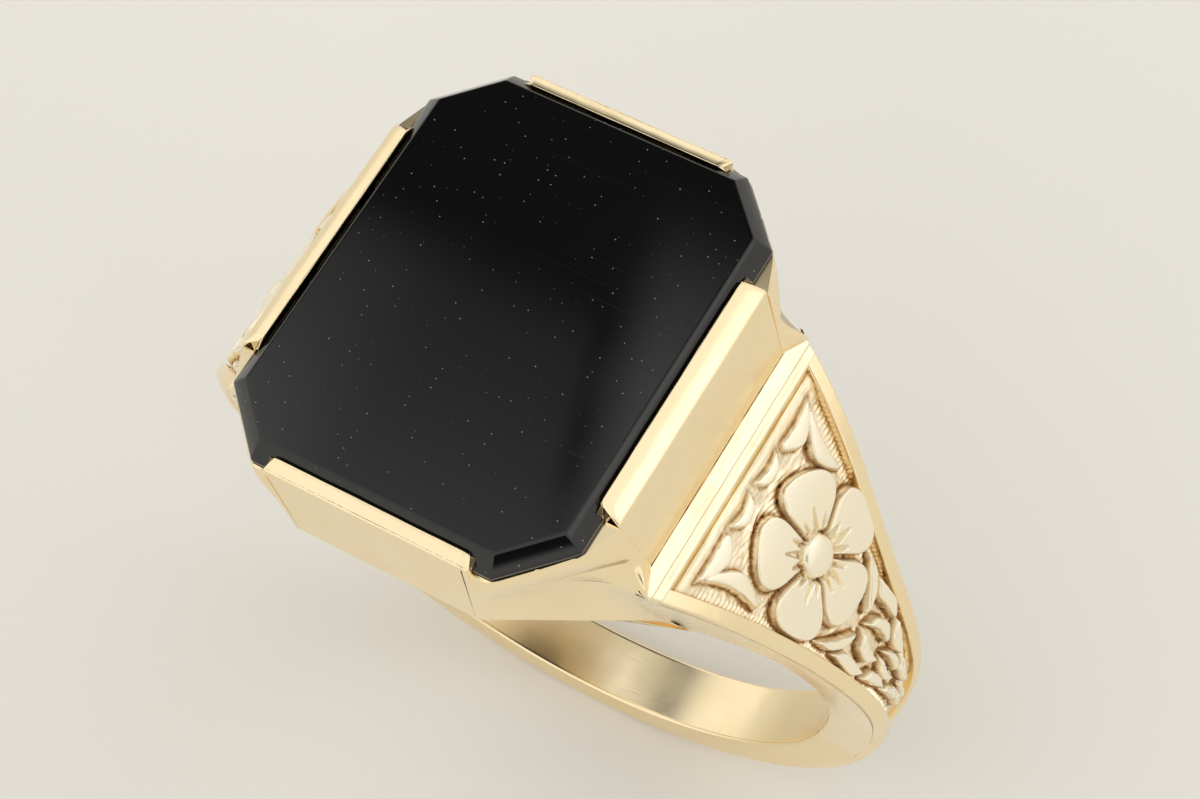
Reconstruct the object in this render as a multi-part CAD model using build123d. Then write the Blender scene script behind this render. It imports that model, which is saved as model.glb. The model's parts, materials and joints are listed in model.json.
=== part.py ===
from build123d import *
import os
from math import cos, degrees, radians, sin, sqrt

# A man's signet ring: a bevelled black onyx tablet held by four bent-over plates, an octagonal
# setting with open corners, two fan-shaped shoulders with a raised border, a five-petal flower
# and scroll leaves, and a plain band.
#
# Frame, in millimetres: the origin is the centre of the finger hole, +Y runs along the finger,
# +Z points up through the stone and +X across the shoulders. Angles round the ring are measured
# in degrees from the bottom of the band upwards, and the left side mirrors the right.

# ---- Finger hole and band ----
BORE_RADIUS = 9.9               # 19.8 mm inside diameter
BAND_THICKNESS = 1.3            # at the bottom of the band
SHOULDER_RISE = 1.92            # extra thickness at the top of the shoulder
BAND_HALF_WIDTH = 1.1
SHOULDER_SPREAD = 3.53          # extra half width at the top of the shoulder
SPREAD_POWER = 1.9
PANEL_START = 70.0              # where the plain band ends and the carved shoulder begins
SPREAD_START = 75.0
SHOULDER_TOP = 149.1
SHOULDER_OVERRUN = 156.0        # the shoulder is made this long, then trimmed to the setting
WAIST_START = 88.0              # both shoulders are slimmer between these angles
WAIST_END = 150.0
WAIST = 0.60
SECTION_STEP = 10.0
CUT_ALLOWANCE = 0.5             # sections start this far inside the bore, which is cut last
EDGE_CHAMFER = 0.35
HALF_TURN = 180.0

# ---- Raised border, flower and leaves on each shoulder ----
RELIEF_HEIGHT = 0.35
RAIL_WIDTH = 0.48
RAIL_MEETING_GAP = 0.02         # half the gap where the two rails of a side come together
RAIL_OPEN_ANGLE = 92.0          # the rails have their full width above this angle
FLOWER_ANGLE = 128.3
PETAL_COUNT = 5
PETAL_CENTRE_RADIUS = 1.4
PETAL_RADIUS = 0.85
FLOWER_HUB_RADIUS = 1.0
BOSS_RADIUS = 0.58
BOSS_RISE = 0.12                # top of the boss above the petals

# ---- Stone ----
STONE_HALF_X = 5.65
STONE_HALF_Y = 6.95
STONE_CORNER = 1.78
TABLE_HALF_X = 5.17
TABLE_HALF_Y = 6.47
TABLE_CORNER = 1.40
TABLE_Z = 14.47
GIRDLE_TOP_Z = 13.98
GIRDLE_LOW_Z = 13.82
STONE_BACK_INSET = 0.45
STONE_BACK_Z = 12.60
STONE_GAP = 0.015               # play between the stone and the metal round it

# ---- Setting ----
LIP_TOP_Z = 14.38
LIP_INNER_X = 5.47
LIP_INNER_Y = 6.70
RIDGE_X = 6.15
RIDGE_X_Z = 13.95
RIDGE_Y = 7.15
RIDGE_Y_Z = 14.18
PLATE_Y_FOOT = 7.10             # outer face of a front or back plate at its lower edge
ARCH_Z = 10.7                   # lower edge of the front and back plates
ARCH_HALF_WIDTH = 3.0
ARCH_FOOT = (4.9, 8.6)          # where the arch runs into the finger hole
ARCH_PULL = 0.9                 # strength of the arch's S-curve at its top
ARCH_FOOT_PULL = (1.17, 0.405)  # the same at its foot, along x and z
SIDE_FLARE = 0.173              # the side plates lean out by this much per millimetre down
SIDE_KINK_Z = 11.3              # below this they stand upright, behind the bar
FOOT_Z = 7.0                    # below this the setting has run into the finger hole
CORNER_TOP_Z = 13.72
CORNER_TOP_LINE = 10.86         # x + y along a corner panel's top edge
CORNER_FOOT_LINE = 10.02        # x + y at the panel's foot
PLATE_X_END = (4.10, 3.05)      # half length of a side plate at its lip and its foot
PLATE_Y_END = (3.35, 2.50)
SEAT_HALF_X = 5.30
SEAT_HALF_Y = 6.60
SEAT_CORNER = 2.20
SEAT_WALL = 0.70
SEAT_LOW_Z = 11.20
SEAT_HIGH_Z = 12.90
JOINT_GAP = 0.01

# ---- Bar between the setting and the carved panel ----
BAR_FOOT_Z = 10.2
BAR_INNER_Z = 11.33
BAR_OUTER = (7.27, 10.84)
BAR_FOOT_X = 7.10

REACH = 20.0                    # longer than anything it cuts
TRIM_MARGIN = 1.0               # how far a cut or trimmed shape runs past the face it meets


def rise(angle):
    """Thickness of the ring at an angle up from the bottom, with its shoulder slimmed by a waist."""
    share = (angle - WAIST_START) / (WAIST_END - WAIST_START)
    slim = WAIST * sin(radians(HALF_TURN * share)) ** 2 if 0 < share < 1 else 0
    return BAND_THICKNESS + SHOULDER_RISE * (angle / SHOULDER_TOP) ** 2 - slim


def half_width(angle):
    """Half the ring's width along the finger at an angle up from the bottom."""
    share = (min(angle, SHOULDER_TOP) - SPREAD_START) / (SHOULDER_TOP - SPREAD_START)
    if share <= 0:
        return BAND_HALF_WIDTH
    return BAND_HALF_WIDTH + SHOULDER_SPREAD * share ** SPREAD_POWER


def ring_point(angle, radius, y):
    """A point at an angle up from the bottom, a radius from the finger's axis, and y."""
    return (radius * sin(radians(angle)), y, -radius * cos(radians(angle)))


def section(angle, corners):
    """A flat section standing across the ring, from (radius, y) corners."""
    return make_face(Polyline([ring_point(angle, r, y) for r, y in corners], close=True))


def quad(low, high, near, far):
    """Corners of a four-sided section between two radii and two y values."""
    return [(low, near), (high, near), (high, far), (low, far)]


def steps(start, end):
    """Angles from start to end, about one section step apart."""
    count = max(2, round((end - start) / SECTION_STEP))
    return [start + (end - start) * i / count for i in range(count + 1)]


def octagon(half_x, half_y, corner, z):
    """A rectangle with equal cut corners, as a flat face at height z."""
    cut_x = half_x - corner
    cut_y = half_y - corner
    points = [(half_x, cut_y), (cut_x, half_y), (-cut_x, half_y), (-half_x, cut_y)]
    points += [(-x, -y) for x, y in points]
    return make_face(Polyline([(x, y, z) for x, y in points], close=True))


def frustum(lower, upper):
    """A straight-sided solid between two flat faces."""
    return loft([lower, upper], ruled=True)


def bore_cutter():
    """The finger hole."""
    return Cylinder(BORE_RADIUS, 2 * REACH, rotation=(90, 0, 0))


# ------------------------------------------------------------------ stone

def tablet(grow=0.0):
    """The bevelled tablet, or the pocket that holds it when grown by a gap."""
    def ring(inset, z):
        half_x = STONE_HALF_X - inset + grow
        half_y = STONE_HALF_Y - inset + grow
        return octagon(half_x, half_y, STONE_CORNER, z)

    table = octagon(TABLE_HALF_X + grow, TABLE_HALF_Y + grow, TABLE_CORNER, TABLE_Z + grow)
    back = ring(STONE_BACK_INSET, STONE_BACK_Z - grow)
    low = ring(0, GIRDLE_LOW_Z)
    high = ring(0, GIRDLE_TOP_Z + grow)
    return frustum(back, low) + frustum(low, high) + frustum(high, table)


# ------------------------------------------------------------------ setting

def side_x(z):
    """Outer face of a side plate at height z."""
    return RIDGE_X + (RIDGE_X_Z - max(z, SIDE_KINK_Z)) * SIDE_FLARE


def front_y(z):
    """Outer face of a front or back plate at height z."""
    return RIDGE_Y - (RIDGE_Y_Z - z) * (RIDGE_Y - PLATE_Y_FOOT) / (RIDGE_Y_Z - ARCH_Z)


def between(ends, z):
    """A length that changes evenly from the lip (first) to the foot (second)."""
    share = (LIP_TOP_Z - z) / (LIP_TOP_Z - FOOT_Z)
    return ends[0] + (ends[1] - ends[0]) * share


def corner_line(z):
    """x + y along a corner panel at height z."""
    share = (CORNER_TOP_Z - z) / (CORNER_TOP_Z - FOOT_Z)
    return CORNER_TOP_LINE + (CORNER_FOOT_LINE - CORNER_TOP_LINE) * share


def finger_arch():
    """The finger hole with the arch that lifts the front and back plates off the finger."""
    start = (ARCH_HALF_WIDTH, ARCH_Z)
    pull_in = (start[0] + ARCH_PULL, start[1])
    pull_out = (ARCH_FOOT[0] - ARCH_FOOT_PULL[0], ARCH_FOOT[1] + ARCH_FOOT_PULL[1])
    right = [start, pull_in, pull_out, ARCH_FOOT]
    left = [(-x, z) for x, z in right]

    def lift(point):
        return (point[0], 0, point[1])

    outline = Line(lift(left[0]), lift(right[0]))
    outline += Bezier(*[lift(p) for p in right])
    outline += Line(lift(right[-1]), (0, 0, 0))
    outline += Line((0, 0, 0), lift(left[-1]))
    outline += Bezier(*[lift(p) for p in reversed(left)])
    arch = extrude(make_face(outline), amount=REACH, dir=(0, 1, 0), both=True)
    return arch + bore_cutter()


def plate(profile, length_axis, ends, pocket, cutter):
    """A setting plate: a profile run along the stone's side, narrower at its foot.

    profile holds (outward, z) points; length_axis is "X" or "Y"; ends are the half lengths.
    """
    top = LIP_TOP_Z + TRIM_MARGIN
    sides = [(s * between(ends, z), z) for s, z in ((-1, FOOT_Z), (1, FOOT_Z), (1, top), (-1, top))]
    if length_axis == "X":
        run = make_face(Polyline([(0, out, z) for out, z in profile], close=True))
        trim = make_face(Polyline([(along, 0, z) for along, z in sides], close=True))
        run_dir, trim_dir = (1, 0, 0), (0, 1, 0)
    else:
        run = make_face(Polyline([(out, 0, z) for out, z in profile], close=True))
        trim = make_face(Polyline([(0, along, z) for along, z in sides], close=True))
        run_dir, trim_dir = (0, 1, 0), (1, 0, 0)
    body = extrude(run, amount=REACH, dir=run_dir, both=True)
    body &= extrude(trim, amount=REACH, dir=trim_dir, both=True)
    return body - pocket - cutter


def back_plate(pocket, cutter):
    """The plate along the +Y side of the stone."""
    low = ARCH_Z - TRIM_MARGIN
    profile = [
        (SEAT_HALF_Y, low),
        (front_y(low), low),
        (RIDGE_Y, RIDGE_Y_Z),
        (LIP_INNER_Y, LIP_TOP_Z),
        (LIP_INNER_Y, STONE_BACK_Z),
        (SEAT_HALF_Y, STONE_BACK_Z),
    ]
    return plate(profile, "X", PLATE_Y_END, pocket, cutter)


def right_plate(pocket, cutter):
    """The plate along the +X side of the stone."""
    profile = [
        (SEAT_HALF_X, FOOT_Z),
        (side_x(FOOT_Z), FOOT_Z),
        (side_x(SIDE_KINK_Z), SIDE_KINK_Z),
        (RIDGE_X, RIDGE_X_Z),
        (LIP_INNER_X, LIP_TOP_Z),
        (LIP_INNER_X, STONE_BACK_Z),
        (SEAT_HALF_X, STONE_BACK_Z),
    ]
    return plate(profile, "Y", PLATE_X_END, pocket, cutter)


def corner_panel(pocket, cutter):
    """The panel under the stone's cut corner in the +X, +Y quarter."""
    def ring(z):
        x_end = between(PLATE_Y_END, z) + JOINT_GAP
        y_end = between(PLATE_X_END, z) + JOINT_GAP
        line = corner_line(z)
        points = [
            (x_end, front_y(z)),
            (line - front_y(z), front_y(z)),
            (side_x(z), line - side_x(z)),
            (side_x(z), y_end),
            (SEAT_HALF_X, y_end),
            (SEAT_HALF_X, SEAT_HALF_Y - SEAT_CORNER),
            (SEAT_HALF_X - SEAT_CORNER, SEAT_HALF_Y),
            (x_end, SEAT_HALF_Y),
        ]
        return make_face(Polyline([(x, y, z) for x, y in points], close=True))

    lower = frustum(ring(FOOT_Z), ring(SIDE_KINK_Z))
    return lower + frustum(ring(SIDE_KINK_Z), ring(CORNER_TOP_Z)) - pocket - cutter


def stone_seat(pocket):
    """The bearer inside the setting that the stone rests on, open in the middle."""
    window_x = SEAT_HALF_X - SEAT_WALL
    window_y = SEAT_HALF_Y - SEAT_WALL
    outer = frustum(*[
        octagon(SEAT_HALF_X - JOINT_GAP, SEAT_HALF_Y - JOINT_GAP, SEAT_CORNER, z)
        for z in (SEAT_LOW_Z, SEAT_HIGH_Z)
    ])
    window = frustum(*[
        octagon(window_x, window_y, SEAT_CORNER, z)
        for z in (SEAT_LOW_Z - TRIM_MARGIN, SEAT_HIGH_Z + TRIM_MARGIN)
    ])
    return outer - window - pocket


def setting_block():
    """The room the setting takes up, which the shoulders are trimmed to."""
    def ring(z):
        line = corner_line(z)
        x = side_x(z) + JOINT_GAP
        y = front_y(z) + JOINT_GAP
        points = [(x, line - x), (line - y, y), (y - line, y), (-x, line - x)]
        points += [(-px, -py) for px, py in points]
        return make_face(Polyline([(px, py, z) for px, py in points], close=True))

    lower = frustum(ring(FOOT_Z - TRIM_MARGIN), ring(SIDE_KINK_Z))
    return lower + frustum(ring(SIDE_KINK_Z), ring(CORNER_TOP_Z))


# ------------------------------------------------------------------ shoulder and band

def fan(start, end, corners_at):
    """A solid that follows the ring from start to end, with corners_at(angle) as its section."""
    return loft([section(angle, corners_at(angle)) for angle in steps(start, end)])


def shoulder_envelope():
    """Everything within a shoulder's width, used to trim the bar's ends."""
    def corners(angle):
        width = half_width(angle)
        return quad(BORE_RADIUS, BORE_RADIUS + 2 * rise(angle), -width, width)

    return fan(PANEL_START, SHOULDER_OVERRUN, corners)


def bar_block():
    """The bar's profile run across the shoulder, standing in its notch."""
    profile = [
        (side_x(BAR_FOOT_Z) + JOINT_GAP, BAR_FOOT_Z),
        (side_x(BAR_INNER_Z) + JOINT_GAP, BAR_INNER_Z),
        BAR_OUTER,
        (BAR_FOOT_X, BAR_FOOT_Z),
    ]
    face = make_face(Polyline([(x, 0, z) for x, z in profile], close=True))
    length = half_width(SHOULDER_TOP) + TRIM_MARGIN
    return extrude(face, amount=length, dir=(0, 1, 0), both=True)


def bar_notch():
    """The step cut across the shoulder plate and rails for the bar."""
    low = BAR_FOOT_Z - JOINT_GAP
    profile = [
        (0, low),
        (BAR_FOOT_X + JOINT_GAP, low),
        (BAR_OUTER[0] + JOINT_GAP, BAR_OUTER[1]),
        (BAR_OUTER[0] + JOINT_GAP, REACH),
        (0, REACH),
    ]
    face = make_face(Polyline([(x, 0, z) for x, z in profile], close=True))
    return extrude(face, amount=REACH, dir=(0, 1, 0), both=True)


def shoulder_plate(block, notch):
    """The curved, fan-shaped plate that carries the relief."""
    def corners(angle):
        width = half_width(angle)
        outer = BORE_RADIUS + rise(angle) - RELIEF_HEIGHT
        return quad(BORE_RADIUS - CUT_ALLOWANCE, outer, -width, width)

    return fan(PANEL_START, SHOULDER_OVERRUN, corners) - block - notch - bore_cutter()


def shoulder_rail(block, notch):
    """The raised border along one edge of a shoulder, on the +Y side."""
    def corners(angle):
        width = half_width(angle)
        opening = min(1.0, (angle - PANEL_START) / (RAIL_OPEN_ANGLE - PANEL_START))
        inner = max(RAIL_MEETING_GAP, (width - RAIL_WIDTH) * sqrt(opening))
        outer = BORE_RADIUS + rise(angle)
        return quad(outer - RELIEF_HEIGHT + JOINT_GAP, outer, inner, width)

    return fan(PANEL_START, SHOULDER_OVERRUN, corners) - block - notch


def shank_band():
    """The plain lower band, rounded on its outer edges."""
    def corners(angle):
        width = half_width(angle)
        outer = BORE_RADIUS + rise(abs(angle))
        return [
            (BORE_RADIUS - CUT_ALLOWANCE, -width),
            (outer - EDGE_CHAMFER, -width),
            (outer, -width + EDGE_CHAMFER),
            (outer, width - EDGE_CHAMFER),
            (outer - EDGE_CHAMFER, width),
            (BORE_RADIUS - CUT_ALLOWANCE, width),
        ]

    end = PANEL_START - JOINT_GAP
    return fan(-end, end, corners) - bore_cutter()


# ------------------------------------------------------------------ flower and leaves

def relief_plane(angle):
    """A plane on the shoulder's ground: its x runs up the shoulder and its z points outwards."""
    radius = BORE_RADIUS + rise(angle) - RELIEF_HEIGHT
    outward = ring_point(angle, 1, 0)
    upward = (cos(radians(angle)), 0, sin(radians(angle)))
    return Plane(origin=ring_point(angle, radius, 0), x_dir=upward, z_dir=outward)


def flower(ground):
    """Five petals round a domed boss, sitting on the shoulder's ground."""
    outline = Circle(FLOWER_HUB_RADIUS)
    for i in range(PETAL_COUNT):
        turn = radians(HALF_TURN + i * 2 * HALF_TURN / PETAL_COUNT)
        centre = Pos(PETAL_CENTRE_RADIUS * cos(turn), PETAL_CENTRE_RADIUS * sin(turn))
        outline += centre * Circle(PETAL_RADIUS)
    petals = Pos(0, 0, -CUT_ALLOWANCE) * extrude(outline, amount=CUT_ALLOWANCE + RELIEF_HEIGHT)
    boss = Pos(0, 0, RELIEF_HEIGHT + BOSS_RISE - BOSS_RADIUS) * Sphere(BOSS_RADIUS)
    return relief_plane(FLOWER_ANGLE) * (petals + boss) - ground


def leaf(root, tip, width):
    """A pointed leaf on the shoulder's ground, between two points given from the flower's centre.

    Each point holds the distance up the shoulder and the distance across it.
    """
    half = ((tip[0] - root[0]) / 2, (tip[1] - root[1]) / 2)
    bow = width / 2 / sqrt(half[0] ** 2 + half[1] ** 2)
    side = (-half[1] * bow, half[0] * bow)
    near_edge = ThreePointArc((-half[0], -half[1]), side, half)
    far_edge = ThreePointArc(half, (-side[0], -side[1]), (-half[0], -half[1]))
    outline = make_face(near_edge + far_edge)
    blade = Pos(0, 0, -CUT_ALLOWANCE) * extrude(outline, amount=CUT_ALLOWANCE + RELIEF_HEIGHT)
    along = (root[0] + tip[0]) / 2
    across = (root[1] + tip[1]) / 2
    ground_radius = BORE_RADIUS + rise(FLOWER_ANGLE) - RELIEF_HEIGHT
    angle = FLOWER_ANGLE + degrees(along / ground_radius)
    return relief_plane(angle) * Pos(0, across, 0) * blade


# Leaves of one half of a shoulder: root, tip and width, measured from the flower's centre with
# the first number up the shoulder and the second towards the edge.
LEAVES = [
    ((2.85, 1.50), (3.05, 3.15), 0.50),     # along the bar, into the corner
    ((2.25, 2.35), (0.95, 2.55), 0.45),     # down past the flower's shoulder
    ((3.15, 0.12), (3.00, 1.35), 0.42),     # from the middle of the bar
    ((-2.10, 1.40), (-3.20, 0.45), 0.36),   # crescent under the flower
    ((-3.00, 0.95), (-4.60, 0.80), 0.40),   # towards the band
    ((-4.70, 0.45), (-5.90, 0.30), 0.30),
]


def scroll_leaves(ground, blossom):
    """The leaves round the flower, mirrored about the middle of the shoulder."""
    blades = []
    for root, tip, width in LEAVES:
        blade = leaf(root, tip, width) - ground - blossom
        blades += blade.solids() + mirror(blade, about=Plane.XZ).solids()
    return Compound(blades)


def write(name, shape):
    """Write one piece as its own STEP file."""
    shape.label = name
    export_step(shape, f"parts/{name}.step")


def main():
    """Build every piece and write it."""
    os.makedirs("parts", exist_ok=True)
    pocket = tablet(STONE_GAP)
    cutter = finger_arch()
    block = setting_block()
    notch = bar_notch()

    write("onyx_tablet", tablet())
    write("stone_seat", stone_seat(pocket))
    write("shank_band", shank_band())

    back = back_plate(pocket, cutter)
    write("bezel_plate_back", back)
    write("bezel_plate_front", mirror(back, about=Plane.XZ))
    right = right_plate(pocket, cutter)
    write("bezel_plate_right", right)
    write("bezel_plate_left", mirror(right, about=Plane.YZ))

    corner = corner_panel(pocket, cutter)
    write("corner_panel_back_right", corner)
    write("corner_panel_front_right", mirror(corner, about=Plane.XZ))
    back_left = mirror(corner, about=Plane.YZ)
    write("corner_panel_back_left", back_left)
    write("corner_panel_front_left", mirror(back_left, about=Plane.XZ))

    ground = shoulder_plate(block, notch)
    rail = shoulder_rail(block, notch)
    blossom = flower(ground)
    pieces = {
        "shoulder_plate": ground,
        "shoulder_bar": bar_block() & shoulder_envelope(),
        "shoulder_rail_back": rail,
        "shoulder_rail_front": mirror(rail, about=Plane.XZ),
        "flower": blossom,
        "scroll_leaves": scroll_leaves(ground, blossom),
    }
    for name, shape in pieces.items():
        write(f"{name}_right", shape)
        write(f"{name}_left", mirror(shape, about=Plane.YZ))


main()
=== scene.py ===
import json
import logging
import math
from collections.abc import Callable
from dataclasses import dataclass, field
from enum import Enum

import bmesh
import bpy
import numpy as np
from mathutils import Matrix, Vector


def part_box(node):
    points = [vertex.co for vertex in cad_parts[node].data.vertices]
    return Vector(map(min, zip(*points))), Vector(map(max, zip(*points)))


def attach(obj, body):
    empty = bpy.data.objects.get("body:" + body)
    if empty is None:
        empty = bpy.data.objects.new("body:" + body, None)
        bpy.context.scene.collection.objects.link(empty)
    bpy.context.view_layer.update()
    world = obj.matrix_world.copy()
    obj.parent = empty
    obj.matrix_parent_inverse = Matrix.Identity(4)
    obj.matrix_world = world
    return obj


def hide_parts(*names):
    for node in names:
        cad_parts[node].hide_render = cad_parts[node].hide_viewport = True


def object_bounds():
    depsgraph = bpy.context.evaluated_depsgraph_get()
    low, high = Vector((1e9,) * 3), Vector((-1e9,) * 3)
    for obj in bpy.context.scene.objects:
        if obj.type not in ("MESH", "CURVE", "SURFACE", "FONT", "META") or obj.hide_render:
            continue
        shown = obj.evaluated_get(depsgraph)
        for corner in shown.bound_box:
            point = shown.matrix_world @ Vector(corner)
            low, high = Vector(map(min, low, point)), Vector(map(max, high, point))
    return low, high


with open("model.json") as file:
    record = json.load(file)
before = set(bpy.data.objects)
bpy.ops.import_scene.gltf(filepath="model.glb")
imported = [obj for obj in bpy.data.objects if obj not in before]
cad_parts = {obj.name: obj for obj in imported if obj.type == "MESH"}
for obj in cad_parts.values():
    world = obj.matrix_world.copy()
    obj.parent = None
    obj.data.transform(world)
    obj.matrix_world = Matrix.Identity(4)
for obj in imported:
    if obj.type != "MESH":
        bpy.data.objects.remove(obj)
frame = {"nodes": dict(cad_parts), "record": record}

# A man's gold signet ring with a bevelled black onyx, an open-cornered setting, chased flower
# shoulders and a plain band.
#
# Sizes are in millimetres until a mesh is made. The finger runs along Y, the stone faces up Z.
# Places on a shoulder are given as degrees up from the bottom of the band, or as a pair: the
# distance up the shoulder from its middle line, and the distance across it.

LOG = logging.getLogger("signet_ring")
CAD_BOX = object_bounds()
MM = 0.001
ROOT = "root"

# Edges sharper than these many degrees stay crisp.
CREASE = 38.0
GOLD_CREASE = 50.0
GROUND_CREASE = 60.0

# Heights on the relief, from the sunk ground: where a wall starts, where a raised piece is
# cut off, and where its hidden base lies.
SUNK = -0.12
CUT_OFF = -0.115
BASE = -0.16
FAR_OUTSIDE = -9.0


class Slot(Enum):
    """Material slots of the record."""

    ONYX = "onyx"
    POLISHED = "polished_gold"
    CHASED = "chased_gold"


class Side(Enum):
    """Left or right half of the ring, with the sign of its x."""

    RIGHT = 1
    LEFT = -1

    @property
    def word(self) -> str:
        """The side's name in lower case."""
        return self.name.lower()


class Edge(Enum):
    """Front or back edge of the ring, with the sign of its y."""

    BACK = 1
    FRONT = -1

    @property
    def word(self) -> str:
        """The edge's name in lower case."""
        return self.name.lower()


class Mark(Enum):
    """Values kept at each point of a mesh, which the gold finish reads."""

    # Painted shade in hollows, grooves and at the feet of walls; the gold finish also puts
    # near-black grime specks where it is deepest.
    TARNISH = "tarnish"
    BRUSHED = "brushed"


# ------------------------------------------------------------------ small tools

def ease(low: float, high: float, value: np.ndarray) -> np.ndarray:
    """Rise smoothly from 0 at low to 1 at high.

    Args:
        low: Where the rise starts; it may be above high, which turns the rise into a fall.
        high: Where the rise ends.
        value: The values to place on the rise.

    Returns:
        Shares between 0 and 1.
    """
    share = np.clip((np.asarray(value, float) - low) / (high - low), 0.0, 1.0)
    return share * share * (3.0 - 2.0 * share)


def soft_min(first: np.ndarray, second: np.ndarray, blend: float) -> np.ndarray:
    """The smaller of two fields, with the corner between them rounded off.

    Args:
        first: One distance field.
        second: The other distance field.
        blend: How far from the corner the rounding reaches.

    Returns:
        The blended field.
    """
    near = np.maximum(blend - np.abs(first - second), 0.0) / blend
    return np.minimum(first, second) - near * near * blend / 4.0


def hand_wobble(place: np.ndarray, seed: float) -> np.ndarray:
    """A slow, irregular wave between about -1 and 1, as a hand tool leaves it.

    Args:
        place: Distances along the work.
        seed: Any number; another number gives another wave.

    Returns:
        The wave at each distance.
    """
    waves = np.sin(1.9 * place + 1.7 * seed)
    waves = waves + 0.6 * np.sin(4.3 * place + 2.9 * seed + 0.8)
    return (waves + 0.35 * np.sin(9.1 * place + 5.1 * seed)) / 1.95


def rounded(corners: np.ndarray, cuts: list[float], steps: int = 5,
            hold: float = 0.03) -> np.ndarray:
    """Soften the corners of a closed outline.

    Args:
        corners: Corner points, in order.
        cuts: How far from each corner its curve starts; 0 keeps the corner sharp.
        steps: Facets in each curve.
        hold: Flat kept beside each curve, so that the faces next to it shade flat.

    Returns:
        The softened outline. Its number of points depends only on which cuts are 0.
    """
    corners = np.asarray(corners, float)
    path = []
    for here, cut in enumerate(cuts):
        corner = corners[here]
        if cut <= 0:
            path.append(corner)
            continue
        back = corners[here - 1] - corner
        ahead = corners[(here + 1) % len(corners)] - corner
        back = back / np.linalg.norm(back)
        ahead = ahead / np.linalg.norm(ahead)
        start, end = corner + back * cut, corner + ahead * cut
        path.append(start + back * hold)
        for t in np.linspace(0.0, 1.0, steps + 1):
            path.append((1 - t) ** 2 * start + 2 * t * (1 - t) * corner + t ** 2 * end)
        path.append(end + ahead * hold)
    return np.array(path)


def outward(outline: np.ndarray) -> np.ndarray:
    """Unit normals of a closed outline, pointing away from its inside.

    Args:
        outline: Points of the outline, in order.

    Returns:
        One normal for each point.
    """
    along = np.roll(outline, -1, axis=0) - np.roll(outline, 1, axis=0)
    normal = np.stack([along[:, 1], -along[:, 0]], axis=1)
    normal /= np.linalg.norm(normal, axis=1, keepdims=True) + 1e-9
    following = np.roll(outline, -1, axis=0)
    area = np.sum(outline[:, 0] * following[:, 1] - following[:, 0] * outline[:, 1])
    return normal if area > 0 else -normal


@dataclass
class Shell:
    """A mesh in the making: points in millimetres, faces, and values held at the points."""

    points: np.ndarray
    faces: list[tuple[int, ...]]
    marks: dict[Mark, np.ndarray] = field(default_factory=dict)

    def mirrored(self, side: Side = Side.RIGHT, edge: Edge = Edge.BACK) -> "Shell":
        """The same shell on another side and edge of the ring."""
        signs = np.array([side.value, edge.value, 1.0])
        return Shell(self.points * signs, self.faces, self.marks)


def ring_faces(rows: int, count: int) -> list[tuple[int, ...]]:
    """Faces between neighbouring closed rings of points.

    Args:
        rows: The number of rings.
        count: The points in each ring.

    Returns:
        Four-sided faces.
    """
    faces = []
    for row in range(rows - 1):
        low, high = row * count, (row + 1) * count
        for i in range(count):
            j = (i + 1) % count
            faces.append((low + i, low + j, high + j, high + i))
    return faces


def tube(rings: np.ndarray) -> Shell:
    """Join a row of closed outlines into one closed shell.

    Args:
        rings: Outlines as an array of stations, points and coordinates.

    Returns:
        The shell, with its first and last outline filled in.
    """
    stations, count = rings.shape[:2]
    faces = ring_faces(stations, count)
    faces.append(tuple(range(count - 1, -1, -1)))
    faces.append(tuple(range((stations - 1) * count, stations * count)))
    return Shell(rings.reshape(-1, 3), faces)


def wall(outer: np.ndarray, inner: np.ndarray) -> Shell:
    """A curved wall between two open sheets that have the same rows and columns.

    Args:
        outer: The outer sheet, as rows, columns and coordinates.
        inner: The inner sheet.

    Returns:
        The closed shell.
    """
    rows, columns = outer.shape[:2]
    ring = np.concatenate([outer, inner[:, ::-1]], axis=1)
    count = 2 * columns
    faces = ring_faces(rows, count)
    for base in (0, (rows - 1) * count):
        for i in range(columns - 1):
            face = (base + i, base + i + 1, base + count - 2 - i, base + count - 1 - i)
            faces.append(face if base else face[::-1])
    return Shell(ring.reshape(-1, 3), faces)


def cushion(top: np.ndarray, base: np.ndarray, cells: np.ndarray, tarnish: np.ndarray) -> Shell:
    """Close the raised cells of a height sheet with a base under them.

    Args:
        top: The height sheet, as rows, columns and coordinates.
        base: The same sheet at its lowest level.
        cells: True for each cell of the sheet that is kept.
        tarnish: Painted shade of the finish at each point of the sheet.

    Returns:
        The closed shell of the kept cells only.
    """
    rows, columns = top.shape[:2]
    grid = np.arange(rows * columns).reshape(rows, columns)
    a, b = grid[:-1, :-1][cells], grid[:-1, 1:][cells]
    c, d = grid[1:, 1:][cells], grid[1:, :-1][cells]
    quads = np.stack([a, b, c, d], axis=1)
    used, flat = np.unique(quads, return_inverse=True)
    quads = flat.reshape(-1, 4)
    lift = len(used)
    sides = {}
    for quad in quads:
        for i in range(4):
            pair = (int(quad[i]), int(quad[(i + 1) % 4]))
            if pair[::-1] in sides:
                del sides[pair[::-1]]
            else:
                sides[pair] = True
    faces = [tuple(int(i) for i in quad) for quad in quads]
    faces += [tuple(int(i) + lift for i in quad[::-1]) for quad in quads]
    faces += [(second, first, first + lift, second + lift) for first, second in sides]
    points = np.concatenate([top.reshape(-1, 3)[used], base.reshape(-1, 3)[used]])
    # The hidden base takes full painted shade.
    shade = np.concatenate([tarnish.reshape(-1)[used], np.ones(lift)])
    return Shell(points, faces, {Mark.TARNISH: shade})


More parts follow.
